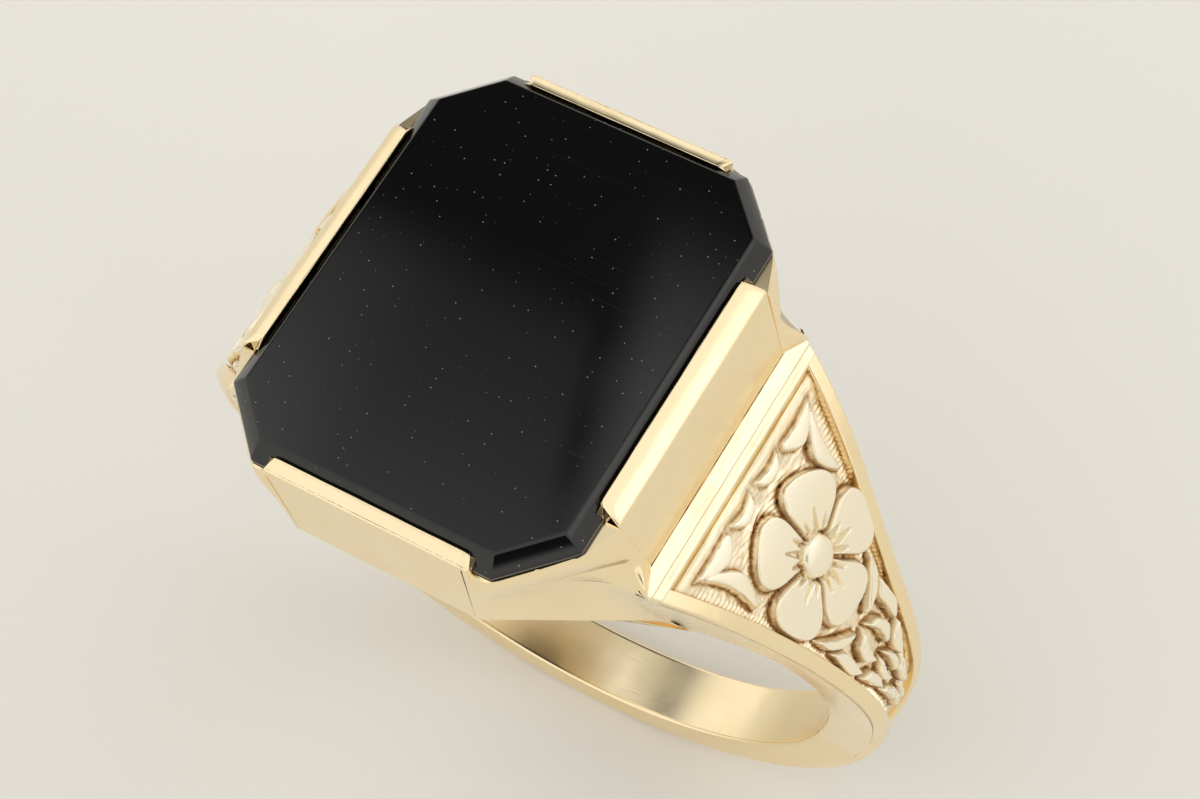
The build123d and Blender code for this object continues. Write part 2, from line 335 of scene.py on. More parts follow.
def make_piece(name: str, shell: Shell, finish: bpy.types.Material,
               stands_for: tuple[str, ...], crease: float | None = CREASE) -> bpy.types.Object:
    """Turn a shell into a piece of the ring.

    Args:
        name: The piece's name.
        shell: Its points and faces, in millimetres.
        finish: Its material.
        stands_for: The CAD nodes it replaces.
        crease: Edges sharper than this many degrees stay crisp; None rounds them all.

    Returns:
        The new object, riding on the ring.
    """
    mesh = bpy.data.meshes.new(name)
    mesh.from_pydata((shell.points * MM).tolist(), [], shell.faces)
    for mark, values in shell.marks.items():
        layer = mesh.attributes.new(mark.value, "FLOAT", "POINT")
        layer.data.foreach_set("value", np.asarray(values, np.float32))
    work = bmesh.new()
    work.from_mesh(mesh)
    bmesh.ops.recalc_face_normals(work, faces=work.faces)
    for face in work.faces:
        face.smooth = True
    if crease is not None:
        limit = math.radians(crease)
        for edge in work.edges:
            edge.smooth = len(edge.link_faces) != 2 or edge.calc_face_angle(0.0) < limit
    work.to_mesh(mesh)
    work.free()
    mesh.materials.append(finish)
    piece = bpy.data.objects.new(name, mesh)
    bpy.context.scene.collection.objects.link(piece)
    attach(piece, ROOT)
    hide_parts(*stands_for)
    LOG.info("made %s: %d points, %d faces", name, len(mesh.vertices), len(mesh.polygons))
    return piece


# ------------------------------------------------------------------ finishes

class NodeBench:
    """Short ways to add and join the nodes of a material."""

    def __init__(self, tree: bpy.types.NodeTree) -> None:
        """Clear the tree and keep it."""
        tree.nodes.clear()
        self.tree = tree

    def add(self, kind: str, **settings: object) -> bpy.types.Node:
        """Add a node and set its properties.

        Args:
            kind: The node's type.
            **settings: Its properties.

        Returns:
            The node.
        """
        node = self.tree.nodes.new(kind)
        for key, value in settings.items():
            setattr(node, key, value)
        return node

    def join(self, source: bpy.types.NodeSocket, target: bpy.types.NodeSocket) -> None:
        """Join an output to an input."""
        self.tree.links.new(source, target)

    def feed(self, target: bpy.types.NodeSocket, value: object) -> None:
        """Give an input a link or a plain value.

        Args:
            target: The input.
            value: A socket to link, or a value to set on the input itself.
        """
        if isinstance(value, bpy.types.NodeSocket):
            self.join(value, target)
        else:
            target.default_value = value

    def maths(self, kind: str, first: object, second: object = 0.0,
              third: object = 0.0) -> bpy.types.NodeSocket:
        """Add a math node.

        Args:
            kind: The operation.
            first: A socket or number.
            second: A socket or number, where the operation takes two.
            third: A socket or number, where the operation takes three.

        Returns:
            The node's output.
        """
        node = self.add("ShaderNodeMath", operation=kind)
        for socket, value in zip(node.inputs, (first, second, third)):
            self.feed(socket, value)
        return node.outputs[0]

    def spread(self, value: object, low: float, high: float, start: float = 0.0,
               end: float = 1.0) -> bpy.types.NodeSocket:
        """Carry a value from one range smoothly to another.

        Args:
            value: The value's socket.
            low: Low end of the first range.
            high: High end of the first range.
            start: What low becomes.
            end: What high becomes.

        Returns:
            The carried value.
        """
        node = self.add("ShaderNodeMapRange", interpolation_type="SMOOTHSTEP")
        ends = {"From Min": low, "From Max": high, "To Min": start, "To Max": end}
        for key, number in ends.items():
            node.inputs[key].default_value = number
        self.feed(node.inputs["Value"], value)
        return node.outputs["Result"]

    def blend(self, share: object, first: object, second: object) -> bpy.types.NodeSocket:
        """Blend two colours.

        Args:
            share: How much of the second colour shows.
            first: The first colour.
            second: The second colour.

        Returns:
            The blended colour.
        """
        node = self.add("ShaderNodeMix", data_type="RGBA")
        self.feed(node.inputs[0], share)
        self.feed(node.inputs[6], first)
        self.feed(node.inputs[7], second)
        return node.outputs[2]

    def noise(self, place: bpy.types.NodeSocket, scale: float,
              detail: float = 2.0) -> bpy.types.NodeSocket:
        """A noise field.

        Args:
            place: The place's socket.
            scale: Waves per metre.
            detail: How many finer layers it has.

        Returns:
            The field.
        """
        node = self.add("ShaderNodeTexNoise")
        self.join(place, node.inputs["Vector"])
        node.inputs["Scale"].default_value = scale
        node.inputs["Detail"].default_value = detail
        return node.outputs["Fac"]

    def stretched(self, place: bpy.types.NodeSocket, turn: tuple[float, float, float],
                  scale: tuple[float, float, float]) -> bpy.types.NodeSocket:
        """A turned and stretched copy of a place.

        Args:
            place: The place's socket.
            turn: Rotation in radians.
            scale: Waves per metre along each turned axis.

        Returns:
            The mapped place.
        """
        node = self.add("ShaderNodeMapping")
        self.join(place, node.inputs["Vector"])
        node.inputs["Rotation"].default_value = turn
        node.inputs["Scale"].default_value = scale
        return node.outputs["Vector"]

    def bump(self, height: bpy.types.NodeSocket, depth: float,
             under: bpy.types.NodeSocket | None = None) -> bpy.types.NodeSocket:
        """Raise the surface by a height field.

        Args:
            height: The field.
            depth: Its depth in millimetres.
            under: A normal that it lies over.

        Returns:
            The new normal.
        """
        node = self.add("ShaderNodeBump")
        node.inputs["Strength"].default_value = 1.0
        node.inputs["Distance"].default_value = depth * MM
        self.join(height, node.inputs["Height"])
        if under is not None:
            self.join(under, node.inputs["Normal"])
        return node.outputs["Normal"]

    def mark(self, kind: Mark) -> bpy.types.NodeSocket:
        """A value held at the mesh's points."""
        return self.add("ShaderNodeAttribute", attribute_name=kind.value).outputs["Fac"]

    def dress(self, sockets: dict[str, object]) -> None:
        """Close a material with one shader.

        Args:
            sockets: A link or a plain value for each of the shader's named inputs.
        """
        shader = self.add("ShaderNodeBsdfPrincipled")
        for name, value in sockets.items():
            self.feed(shader.inputs[name], value)
        self.join(shader.outputs[0], self.add("ShaderNodeOutputMaterial").inputs[0])


def new_material(name: str) -> tuple[bpy.types.Material, NodeBench, bpy.types.NodeSocket]:
    """Start a material.

    Args:
        name: The material's name.

    Returns:
        The material, its node bench, and the place on the object.
    """
    made = bpy.data.materials.new(name)
    made.use_nodes = True
    bench = NodeBench(made.node_tree)
    return made, bench, bench.add("ShaderNodeTexCoord").outputs["Object"]


Colour = tuple[float, float, float, float]
LevelFunction = Callable[[np.ndarray, np.ndarray], np.ndarray]


@dataclass(frozen=True)
class GoldFinish:
    """Polished or chased 14 karat gold."""

    name: str
    colour: Colour = (0.975, 0.815, 0.53, 1.0)
    warm: Colour = (0.94, 0.745, 0.43, 1.0)
    # Brown of the painted shade in hollows, grooves and at the feet of walls.
    tarnish: Colour = (0.50, 0.28, 0.09, 1.0)
    soot: Colour = (0.035, 0.028, 0.02, 1.0)
    roughness: float = 0.14
    worn_roughness: float = 0.24
    ripple_mm: float = 0.0022
    scratch_mm: float = 0.00035
    brushed_mm: float = 0.0060
    grain_mm: float = 0.0
    metallic: float = 1.0

    def material(self) -> bpy.types.Material:
        """Build the finish.

        Returns:
            A metal material with polish ripples, fine scratches, painted shade in hollows and
            near-black grime specks in the deepest of them.
        """
        made, bench, place = new_material(self.name)
        cloud = bench.noise(place, 420.0, 3.0)
        fine = bench.noise(place, 5200.0, 3.0)
        dark = bench.mark(Mark.TARNISH)
        brushed = bench.mark(Mark.BRUSHED)

        # Painted shade: the stored shade value, broken up by fine noise, turns hollows, grooves
        # and the feet of walls brown; near-black grime specks sit where it is deepest.
        uneven = bench.maths("MULTIPLY_ADD", bench.maths("SUBTRACT", fine, 0.5), 0.9, dark)
        uneven = bench.maths("MULTIPLY", uneven, bench.spread(dark, 0.0, 0.12))
        hollow = bench.spread(uneven, 0.12, 0.95)
        tone = bench.blend(bench.spread(cloud, 0.35, 0.70, 0.0, 0.35), self.colour, self.warm)
        tone = bench.blend(hollow, tone, self.tarnish)
        grime = bench.spread(fine, 0.54, 0.62)
        grime = bench.maths("MULTIPLY", bench.spread(dark, 0.72, 1.0), grime)
        tone = bench.blend(grime, tone, self.soot)

        streaks = bench.stretched(place, (0.4, 0.2, 0.9), (300.0, 9000.0, 9000.0))
        streaks = bench.spread(bench.noise(streaks, 1.0), 0.60, 0.72)
        cross = bench.stretched(place, (0.1, 0.9, -0.6), (9000.0, 350.0, 9000.0))
        cross = bench.spread(bench.noise(cross, 1.0), 0.61, 0.73)
        lines = bench.maths("ADD", streaks, cross)
        filed = bench.stretched(place, (0.0, 0.0, 0.03), (9500.0, 520.0, 9500.0))
        filed = bench.noise(filed, 1.0, 4.0)
        normal = bench.bump(bench.noise(place, 260.0, 1.0), self.ripple_mm)
        normal = bench.bump(lines, -self.scratch_mm, normal)
        normal = bench.bump(bench.maths("MULTIPLY", filed, brushed), self.brushed_mm, normal)
        if self.grain_mm:
            normal = bench.bump(fine, self.grain_mm, normal)

        rubbed = bench.maths("MULTIPLY", brushed, bench.spread(filed, 0.50, 0.68, 0.0, 0.75))
        tone = bench.blend(rubbed, tone, self.warm)
        rough = bench.spread(cloud, 0.3, 0.7, self.roughness, self.worn_roughness)
        rough = bench.maths("MULTIPLY_ADD", hollow, 0.30, rough)
        rough = bench.maths("MULTIPLY_ADD", brushed, 0.16, rough)

        bench.dress({"Metallic": self.metallic, "Base Color": tone, "Roughness": rough,
                     "Normal": normal})
        return made


@dataclass(frozen=True)
class OnyxFinish:
    """Polished black onyx with dust on its table and a few hairline scratches."""

    name: str = "polished_onyx"
    body: Colour = (0.0014, 0.0014, 0.0014, 1.0)
    dust: Colour = (0.22, 0.21, 0.20, 1.0)
    roughness: float = 0.035
    refraction: float = 1.54
    dust_waves: float = 2700.0
    dust_size: float = 0.055
    dust_share: float = 0.80

    def material(self) -> bpy.types.Material:
        """Build the finish.

        Returns:
            A glossy black stone material.
        """
        made, bench, place = new_material(self.name)
        cells = bench.add("ShaderNodeTexVoronoi", voronoi_dimensions="2D")
        cells.inputs["Scale"].default_value = self.dust_waves
        bench.join(place, cells.inputs["Vector"])
        pick = bench.add("ShaderNodeSeparateColor")
        bench.join(cells.outputs["Color"], pick.inputs[0])
        split = bench.add("ShaderNodeSeparateXYZ")
        bench.join(place, split.inputs[0])
        settled = bench.spread(split.outputs[1], -0.005, 0.003, 0.0, 0.14)
        chosen = bench.maths("ADD", pick.outputs[0], settled)
        chosen = bench.maths("GREATER_THAN", chosen, self.dust_share)
        size = bench.spread(pick.outputs[1], 0.0, 1.0, 0.35, 1.0)
        size = bench.maths("MULTIPLY", size, self.dust_size)
        speck = bench.maths("LESS_THAN", cells.outputs["Distance"], size)
        speck = bench.maths("MULTIPLY", speck, chosen)
        cloud = bench.noise(place, 330.0, 3.0)
        hair = bench.stretched(place, (0.0, 0.0, -0.42), (90.0, 11000.0, 500.0))
        line = bench.spread(bench.noise(hair, 1.0, 0.0), 0.775, 0.79)
        tone = bench.blend(speck, self.body, self.dust)
        rough = bench.spread(cloud, 0.3, 0.7, self.roughness, self.roughness * 1.7)
        rough = bench.maths("MULTIPLY_ADD", speck, 0.6, rough)
        normal = bench.bump(bench.noise(place, 140.0, 0.0), 0.0009)
        normal = bench.bump(line, -0.00015, normal)
        bench.dress({"IOR": self.refraction, "Base Color": tone, "Roughness": rough,
                     "Normal": normal})
        return made


@dataclass(frozen=True)
class TableFinish:
    """The pale, matt surface that the ring stands on."""

    name: str = "pale_floor"
    colour: Colour = (0.905, 0.885, 0.83, 1.0)
    shade: Colour = (0.885, 0.86, 0.795, 1.0)

    def material(self) -> bpy.types.Material:
        """Build the finish.

        Returns:
            A matt paper-like material.
        """
        made, bench, place = new_material(self.name)
        cloud = bench.spread(bench.noise(place, 6.0, 1.0), 0.3, 0.7)
        tone = bench.blend(cloud, self.colour, self.shade)
        bench.dress({"Roughness": 0.9, "Specular IOR Level": 0.2, "Base Color": tone})
        return made


# ------------------------------------------------------------------ the hoop's form

@dataclass(frozen=True)
class Hoop:
    """Thickness and width of the ring at any angle up from the bottom of the band."""

    bore: float
    band: float = 1.3
    swell: float = 1.92
    top: float = 149.1
    half_band: float = 1.1
    spread: float = 3.53
    spread_start: float = 75.0
    spread_power: float = 1.9
    relief: float = 0.35
    waist: float = 0.60
    waist_start: float = 88.0
    waist_end: float = 150.0

    def crown(self, angle: np.ndarray) -> np.ndarray:
        """Radius of the outermost surface, which is slimmer along the shoulder's waist.

        Args:
            angle: Degrees up from the bottom of the band.

        Returns:
            The radius at each angle.
        """
        angle = np.asarray(angle, float)
        share = np.clip((angle - self.waist_start) / (self.waist_end - self.waist_start), 0.0, 1.0)
        slim = self.waist * np.sin(math.pi * share) ** 2
        return self.bore + self.band + self.swell * (angle / self.top) ** 2 - slim

    def ground(self, angle: np.ndarray) -> np.ndarray:
        """Radius of the sunk ground that the relief stands on."""
        return self.crown(angle) - self.relief

    def half_width(self, angle: np.ndarray) -> np.ndarray:
        """Half the width along the finger."""
        share = (np.minimum(angle, self.top) - self.spread_start) / (self.top - self.spread_start)
        return self.half_band + self.spread * np.maximum(share, 0.0) ** self.spread_power

    @staticmethod
    def point(angle: np.ndarray, radius: np.ndarray, y: np.ndarray) -> np.ndarray:
        """Places on the right-hand side.

        Args:
            angle: Degrees up from the bottom of the band.
            radius: Distances from the finger's middle line.
            y: Distances along the finger.

        Returns:
            Points in x, y and z.
        """
        turn = np.radians(np.asarray(angle, float))
        place = np.broadcast_arrays(radius * np.sin(turn), y, -radius * np.cos(turn))
        return np.stack(place, axis=-1)

    @staticmethod
    def angle_of(x: np.ndarray, z: np.ndarray) -> np.ndarray:
        """Angle up from the bottom of the band of a place on the right-hand side."""
        return 180.0 - np.degrees(np.arctan2(x, z))


# ------------------------------------------------------------------ stone

@dataclass(frozen=True)
class OnyxTablet:
    """The bevelled black onyx with cut corners."""

    table_inset: float = 0.48
    corner: float = 1.78
    table_corner: float = 1.40
    bevel_drop: float = 0.49
    girdle: float = 0.16
    back_inset: float = 0.45
    edge_soft: float = 0.045

    def outline(self, inset: float, corner: float, cut: float) -> np.ndarray:
        """A softened octagon in plan.

        Args:
            inset: How far it stands inside the stone's widest outline.
            corner: Length of each cut corner along the sides.
            cut: Softening of its eight corners.

        Returns:
            Points in x and y.
        """
        low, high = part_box("onyx_tablet")
        half_x = (high.x - low.x) / 2 / MM - inset
        half_y = (high.y - low.y) / 2 / MM - inset
        x, y = half_x - corner, half_y - corner
        quarter = [(half_x, y), (x, half_y), (-x, half_y), (-half_x, y)]
        return rounded(quarter + [(-px, -py) for px, py in quarter], [cut] * 8, 4, 0.02)

    def make(self, finish: bpy.types.Material) -> bpy.types.Object:
        """Build the stone.

        Args:
            finish: The onyx material.

        Returns:
            The stone.
        """
        low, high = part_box("onyx_tablet")
        table, back = high.z / MM, low.z / MM
        soft = self.edge_soft
        slope = self.table_inset / self.bevel_drop
        rim = table - self.bevel_drop
        foot = rim - self.girdle
        lean = self.back_inset / (foot - back)
        shrink = (self.corner - self.table_corner) / self.table_inset
        levels = [(self.table_inset + 0.30, table), (self.table_inset + soft * 1.6, table)]
        for t in np.linspace(0.0, 1.0, 6):
            side, down = soft * (1 - t) ** 2, soft * t ** 2
            levels.append((self.table_inset + side - down * slope, table - down))
        levels += [(self.table_inset * 0.6, table - self.bevel_drop * 0.4)]
        levels += [(0.03, rim + 0.03 / slope), (0.008, rim), (0.0, rim - 0.03)]
        levels += [(0.0, foot + 0.03), (0.008, foot), (0.03, foot - 0.03 / lean)]
        levels += [(self.back_inset, back), (self.back_inset + 0.2, back)]
        rings = []
        for inset, z in levels:
            corner = self.corner - shrink * min(inset, self.table_inset) * (z > rim)
            plan = self.outline(inset, corner, 0.05)
            rings.append(np.column_stack([plan, np.full(len(plan), z)]))
        shell = tube(np.array(rings))
        return make_piece("onyx_stone", shell, finish, ("onyx_tablet",), None)


# ------------------------------------------------------------------ setting

@dataclass(frozen=True)
class SettingForm:
    """Faces that the four plates and the four corner panels share."""

    lip_z: float = 14.38
    ridge_x: float = 6.15
    ridge_x_z: float = 13.95
    ridge_y: float = 7.15
    ridge_y_z: float = 14.18
    foot_y: float = 7.10
    flare: float = 0.173
    kink_z: float = 11.3
    arch_z: float = 10.7
    arch_half: float = 3.0
    arch_foot: tuple[float, float] = (4.9, 8.6)
    arch_pull: float = 0.9
    arch_foot_pull: tuple[float, float] = (1.17, 0.405)
    foot_z: float = 7.0
    side_ends: tuple[float, float] = (4.10, 3.05)
    front_ends: tuple[float, float] = (3.35, 2.50)
    inner_x: float = 5.30
    inner_y: float = 6.60
    inner_line: float = 9.70
    stone_back_z: float = 12.60
    stone_lean: float = 0.369
    bore: float = 9.9

    def side_x(self, z: np.ndarray) -> np.ndarray:
        """Outer face of a side plate at a height."""
        return self.ridge_x + (self.ridge_x_z - np.maximum(z, self.kink_z)) * self.flare

    def front_y(self, z: np.ndarray) -> np.ndarray:
        """Outer face of a front or back plate at a height."""
        lean = (self.ridge_y - self.foot_y) / (self.ridge_y_z - self.arch_z)
        return self.ridge_y - (self.ridge_y_z - z) * lean

    def reach(self, ends: tuple[float, float], z: np.ndarray) -> np.ndarray:
        """Half length of a plate at a height, from its half lengths at lip and foot."""
        return ends[0] + (ends[1] - ends[0]) * (self.lip_z - z) / (self.lip_z - self.foot_z)

    def under_edge(self, x: np.ndarray) -> np.ndarray:
        """Height of the setting's lower edge: the flat, the S-curve, then the finger hole.

        Args:
            x: Distances from the ring's middle plane.

        Returns:
            The edge's height at each distance.
        """
        t = np.linspace(0.0, 1.0, 60)
        foot_x, foot_z = self.arch_foot
        ends = [
            (self.arch_half, self.arch_z),
            (self.arch_half + self.arch_pull, self.arch_z),
            (foot_x - self.arch_foot_pull[0], foot_z + self.arch_foot_pull[1]),
            self.arch_foot,
        ]
        shares = ((1 - t) ** 3, 3 * t * (1 - t) ** 2, 3 * t ** 2 * (1 - t), t ** 3)
        curve_x = sum(share * end[0] for share, end in zip(shares, ends))
        curve_z = sum(share * end[1] for share, end in zip(shares, ends))
        x = np.abs(x)
        hole = np.sqrt(np.maximum(self.bore ** 2 - x ** 2, 0.0))
        return np.where(x > foot_x, hole, np.interp(x, curve_x, curve_z))


@dataclass(frozen=True)
class LipPlate:
    """A plate of the setting with its lip bent over the stone's edge."""

    form: SettingForm
    outline: tuple[tuple[float, float, float], ...]
    hidden_from: int
    ends: tuple[float, float]
    mitre: float
    end_round: float = 0.24
    end_sink: float = 0.06
    seed: float = 0.0
    stations: int = 40

    def shell(self) -> Shell:
        """The plate along x, with its outer face towards +y.

        Returns:
            The closed shell. Each point of the outline is a distance out, a height and a cut.
        """
        corners = [(out, z) for out, z, _ in self.outline]
        cuts = [cut for _, _, cut in self.outline]
        profile = rounded(corners, cuts)
        normal = outward(profile)
        shown = np.arange(len(profile)) < self.hidden_from
        out, z = profile[:, 0], profile[:, 1]
        lip = ease(13.55, 13.85, z) * shown
        inner_edge = corners[0][0]
        ridge = corners[2][0]
        back_cut = self.mitre * np.clip((ridge - out) / (ridge - inner_edge), 0.0, 1.0) * lip
        length = self.form.reach(self.ends, z) - back_cut

        turns = np.linspace(math.pi / 2, 0.0, 7)
        end_steps = [(1.0, 1.0 - math.sin(turn), 1.0 - math.cos(turn)) for turn in turns]
        middle = [(share, 0.0, 0.0) for share in np.linspace(0.94, -0.94, self.stations)]
        far_end = [(-share, back, sink) for share, back, sink in reversed(end_steps)]
        steps = end_steps + middle + far_end
        rings = []
        for share, back, sink in steps:
            sign = 1.0 if share > 0 else -1.0
            trim = np.where(lip > 0, self.end_round * lip * back, 0.0)
            along = share * length - sign * trim
            wave = hand_wobble(along, self.seed) * 0.010 * ease(13.3, 14.0, z) * shown
            offset = -self.end_sink * lip * sink + wave
            ring_out = out + normal[:, 0] * offset
            ring_z = np.minimum(z + normal[:, 1] * offset, self.form.lip_z + 0.02)
            rings.append(np.stack([along, ring_out, ring_z], axis=1))
        return tube(np.array(rings))


@dataclass(frozen=True)
class CornerPanel:
    """The concave panel under one of the stone's cut corners."""

    form: SettingForm
    hoop: Hoop
    rim_z: float = 13.79
    rim_soft: float = 0.05
    rim_x: float = 5.70
    rim_y: float = 7.00
    rim_line: float = 10.89
    slope_z: float = 12.40
    late_z: float = 13.30
    web_low: float = 11.05
    web_high: float = 12.35
    web_x: float = 6.95
    rows: int = 64

    def line(self, z: float) -> float:
        """x + y across the panel's hollow face at a height."""
        return 10.10 + 0.73 * (max(z - 8.0, 0.0) / 5.3) ** 2.5

    def outer(self, z: float) -> np.ndarray:
        """Plan of the outer face at a height, from the front plate round to the side plate.

        Args:
            z: The height.

        Returns:
            Points in x and y.
        """
        form = self.form
        pull = min(max((z - self.slope_z) / (self.rim_z - self.slope_z), 0.0), 1.0)
        late = float(ease(self.late_z, self.rim_z, z))
        face_y = form.front_y(z) + (self.rim_y - form.front_y(z)) * late
        side_x = form.side_x(z) + (self.rim_x - form.side_x(z)) * pull
        line = self.line(z) + (self.rim_line - self.line(z)) * pull
        x_end = form.reach(form.front_ends, z) + 0.003
        y_end = form.reach(form.side_ends, z) + 0.003
        web = float(ease(self.web_high, self.web_low, z))
        plain_mid = np.array([(line - face_y + side_x) / 2, (line - side_x + face_y) / 2])
        plain_turn = np.array([side_x, line - side_x])
        shoulder_y = float(self.hoop.half_width(self.hoop.angle_of(6.6, z))) + 0.006
        web_y = float(self.hoop.half_width(self.hoop.angle_of(self.web_x, z))) + 0.006
        web_mid = np.array([line - shoulder_y, shoulder_y])
        web_turn = np.array([self.web_x, web_y])
        middle = plain_mid + (web_mid - plain_mid) * web
        turn = plain_turn + (web_turn - plain_turn) * web
        start, end = (x_end, form.front_y(z)), (form.side_x(z), y_end)
        corners = [start, (line - face_y, face_y), middle, turn, end]
        cuts = [0.0, 0.20, 0.02 + 0.75 * web, 0.22 * (1 - web) + 0.04, 0.0]
        return rounded(corners + [(x_end, y_end)], cuts + [0.0], 7, 0.02)[:-1]

    def inner(self, z: float, count: int) -> np.ndarray:
        """Plan of the inner face at a height, with as many points as the outer face.

        Args:
            z: The height.
            count: The number of points.

        Returns:
            Points in x and y.
        """
        form = self.form
        grow = max(z - form.stone_back_z, 0.0) * form.stone_lean
        x = max(form.inner_x, 5.215 + grow)
        y = max(form.inner_y, 6.515 + grow)
        line = max(form.inner_line, 9.94 + 2 * grow) if z > form.stone_back_z else form.inner_line
        x_end = form.reach(form.front_ends, z) + 0.003
        y_end = form.reach(form.side_ends, z) + 0.003
        path = np.array([(x_end, y), (line - y, y), (x, line - x), (x, y_end)])
        steps = np.linalg.norm(np.diff(path, axis=0), axis=1)
        place = np.concatenate([[0.0], np.cumsum(steps)])
        spots = np.linspace(0.0, place[-1], count)
        return np.stack([np.interp(spots, place, path[:, i]) for i in (0, 1)], axis=1)

    def sheet(self, plans: np.ndarray, levels: np.ndarray, top: float) -> np.ndarray:
        """Spread rows evenly from the rim to the lower edge, column by column.

        Args:
            plans: The plan at each level.
            levels: Heights of the plans, rising.
            top: Height of the first row.

        Returns:
            The sheet as rows, columns and coordinates.
        """
        columns = []
        shares = np.linspace(0.0, 1.0, self.rows)
        for column in range(plans.shape[1]):
            x, y = plans[:, column, 0], plans[:, column, 1]
            open_air = levels < self.form.under_edge(x)
            low = levels[open_air][-1] if open_air.any() else levels[0]
            fine = np.linspace(low, min(low + 0.06, top), 30)
            edge = self.form.under_edge(np.interp(fine, levels, x))
            above = fine[fine >= edge]
            low = above[0] if len(above) else low
            z = top + (low - top) * shares
            columns.append(np.stack([np.interp(z, levels, x), np.interp(z, levels, y), z], axis=1))
        return np.stack(columns, axis=1)

    def shell(self) -> Shell:
        """The panel in the quarter with positive x and y.

        Returns:
            The closed shell, with its rim and lower edge softened.
        """
        levels = np.arange(self.form.foot_z, self.rim_z + 0.05, 0.05)
        outer_plans = np.array([self.outer(z) for z in levels])
        count = outer_plans.shape[1]
        inner_plans = np.array([self.inner(z, count) for z in levels])
        outer = self.sheet(outer_plans, levels, self.rim_z)
        inner = self.sheet(inner_plans, levels, self.rim_z)
        inward = inner - outer
        inward[:, :, 2] = 0.0
        inward /= np.linalg.norm(inward, axis=2, keepdims=True) + 1e-9
        drop = self.rim_z - outer[:, :, 2]
        rise = outer[:, :, 2] - outer[-1, :, 2]
        for gap, soft in ((drop, self.rim_soft), (rise, 0.06)):
            near = np.clip(1.0 - gap / soft, 0.0, 1.0)
            outer = outer + inward * (soft * (1.0 - np.sqrt(1.0 - near ** 2)))[:, :, None]
        return wall(outer, inner)


@dataclass(frozen=True)
class Setting:
    """The octagonal setting: four lipped plates, four corner panels and the seat."""

    form: SettingForm
    hoop: Hoop

    def make(self, finish: bpy.types.Material) -> None:
        """Build every piece of the setting and dress the seat.

        Args:
            finish: The polished gold material.
        """
        long_plate = LipPlate(
            self.form,
            ((6.70, 14.38, 0.045), (6.935, 14.305, 0.15), (7.15, 14.18, 0.06),
             (7.10, 10.70, 0.08), (6.61, 10.70, 0.06), (6.61, 12.88, 0.0),
             (6.96, 13.81, 0.0), (6.965, 14.0, 0.0), (6.715, 14.24, 0.0)),
            32, self.form.front_ends, 0.20, seed=1.3,
        )
        for edge in Edge:
            shell = long_plate.shell().mirrored(edge=edge)
            name = f"bezel_plate_{edge.word}"
            make_piece(f"setting_plate_{edge.word}", shell, finish, (name,))

        low = 7.245
        foot_x = float(self.form.side_x(low))
        wide_plate = LipPlate(
            self.form,
            ((5.47, 14.38, 0.045), (5.84, 14.205, 0.26),
             (self.form.ridge_x, self.form.ridge_x_z, 0.08),
             (foot_x, self.form.kink_z, 0.05), (foot_x, low, 0.04),
             (6.0, 7.875, 0.02), (5.31, 8.355, 0.05), (5.31, 12.86, 0.0), (5.66, 13.81, 0.0),
             (5.665, 14.0, 0.0), (5.485, 14.185, 0.0)),
            37, self.form.side_ends, 0.30, seed=2.6,
        )
        for side in Side:
            shell = wide_plate.shell()
            shell.points = shell.points[:, [1, 0, 2]]
            shell = shell.mirrored(side)
            name = f"bezel_plate_{side.word}"
            make_piece(f"setting_plate_{side.word}", shell, finish, (name,))

        panel = CornerPanel(self.form, self.hoop).shell()
        for side in Side:
            for edge in Edge:
                place = f"{edge.word}_{side.word}"
                shell = panel.mirrored(side, edge)
                node = f"corner_panel_{place}"
                make_piece(f"setting_corner_{place}", shell, finish, (node,),
                           GOLD_CREASE)

        seat = frame["nodes"]["stone_seat"]
        seat.data.materials.clear()
        seat.data.materials.append(finish)


# ------------------------------------------------------------------ relief

@dataclass(frozen=True)
class Blade:
    """A leaf seen flat: a curved spine with a half width at each of its points."""

    spine: tuple[tuple[float, float], ...]
    widths: tuple[float, ...]
    samples: int = 36

    def inside(self, up: np.ndarray, across: np.ndarray) -> np.ndarray:
        """How far each place lies inside the leaf; negative outside.

        Args:
            up: Distances up the shoulder.
            across: Distances across it.

        Returns:
            The distances.
        """
        nodes = np.array(self.spine)
        count = len(nodes)
        t = np.linspace(0.0, count - 1.0, self.samples)
        here = np.minimum(t.astype(int), count - 2)
        part = (t - here)[:, None]
        padded = np.concatenate([[2 * nodes[0] - nodes[1]], nodes, [2 * nodes[-1] - nodes[-2]]])
        a, b, c, d = (padded[here + i] for i in range(4))
        curve = 0.5 * (2 * b + (c - a) * part + (2 * a - 5 * b + 4 * c - d) * part ** 2
                       + (3 * b - a - 3 * c + d) * part ** 3)
        width = np.interp(t, np.arange(count), self.widths)
        best = np.full(up.shape, FAR_OUTSIDE)
        for (x, y), half in zip(curve, width):
            best = np.maximum(best, half - np.hypot(up - x, across - y))
        return best


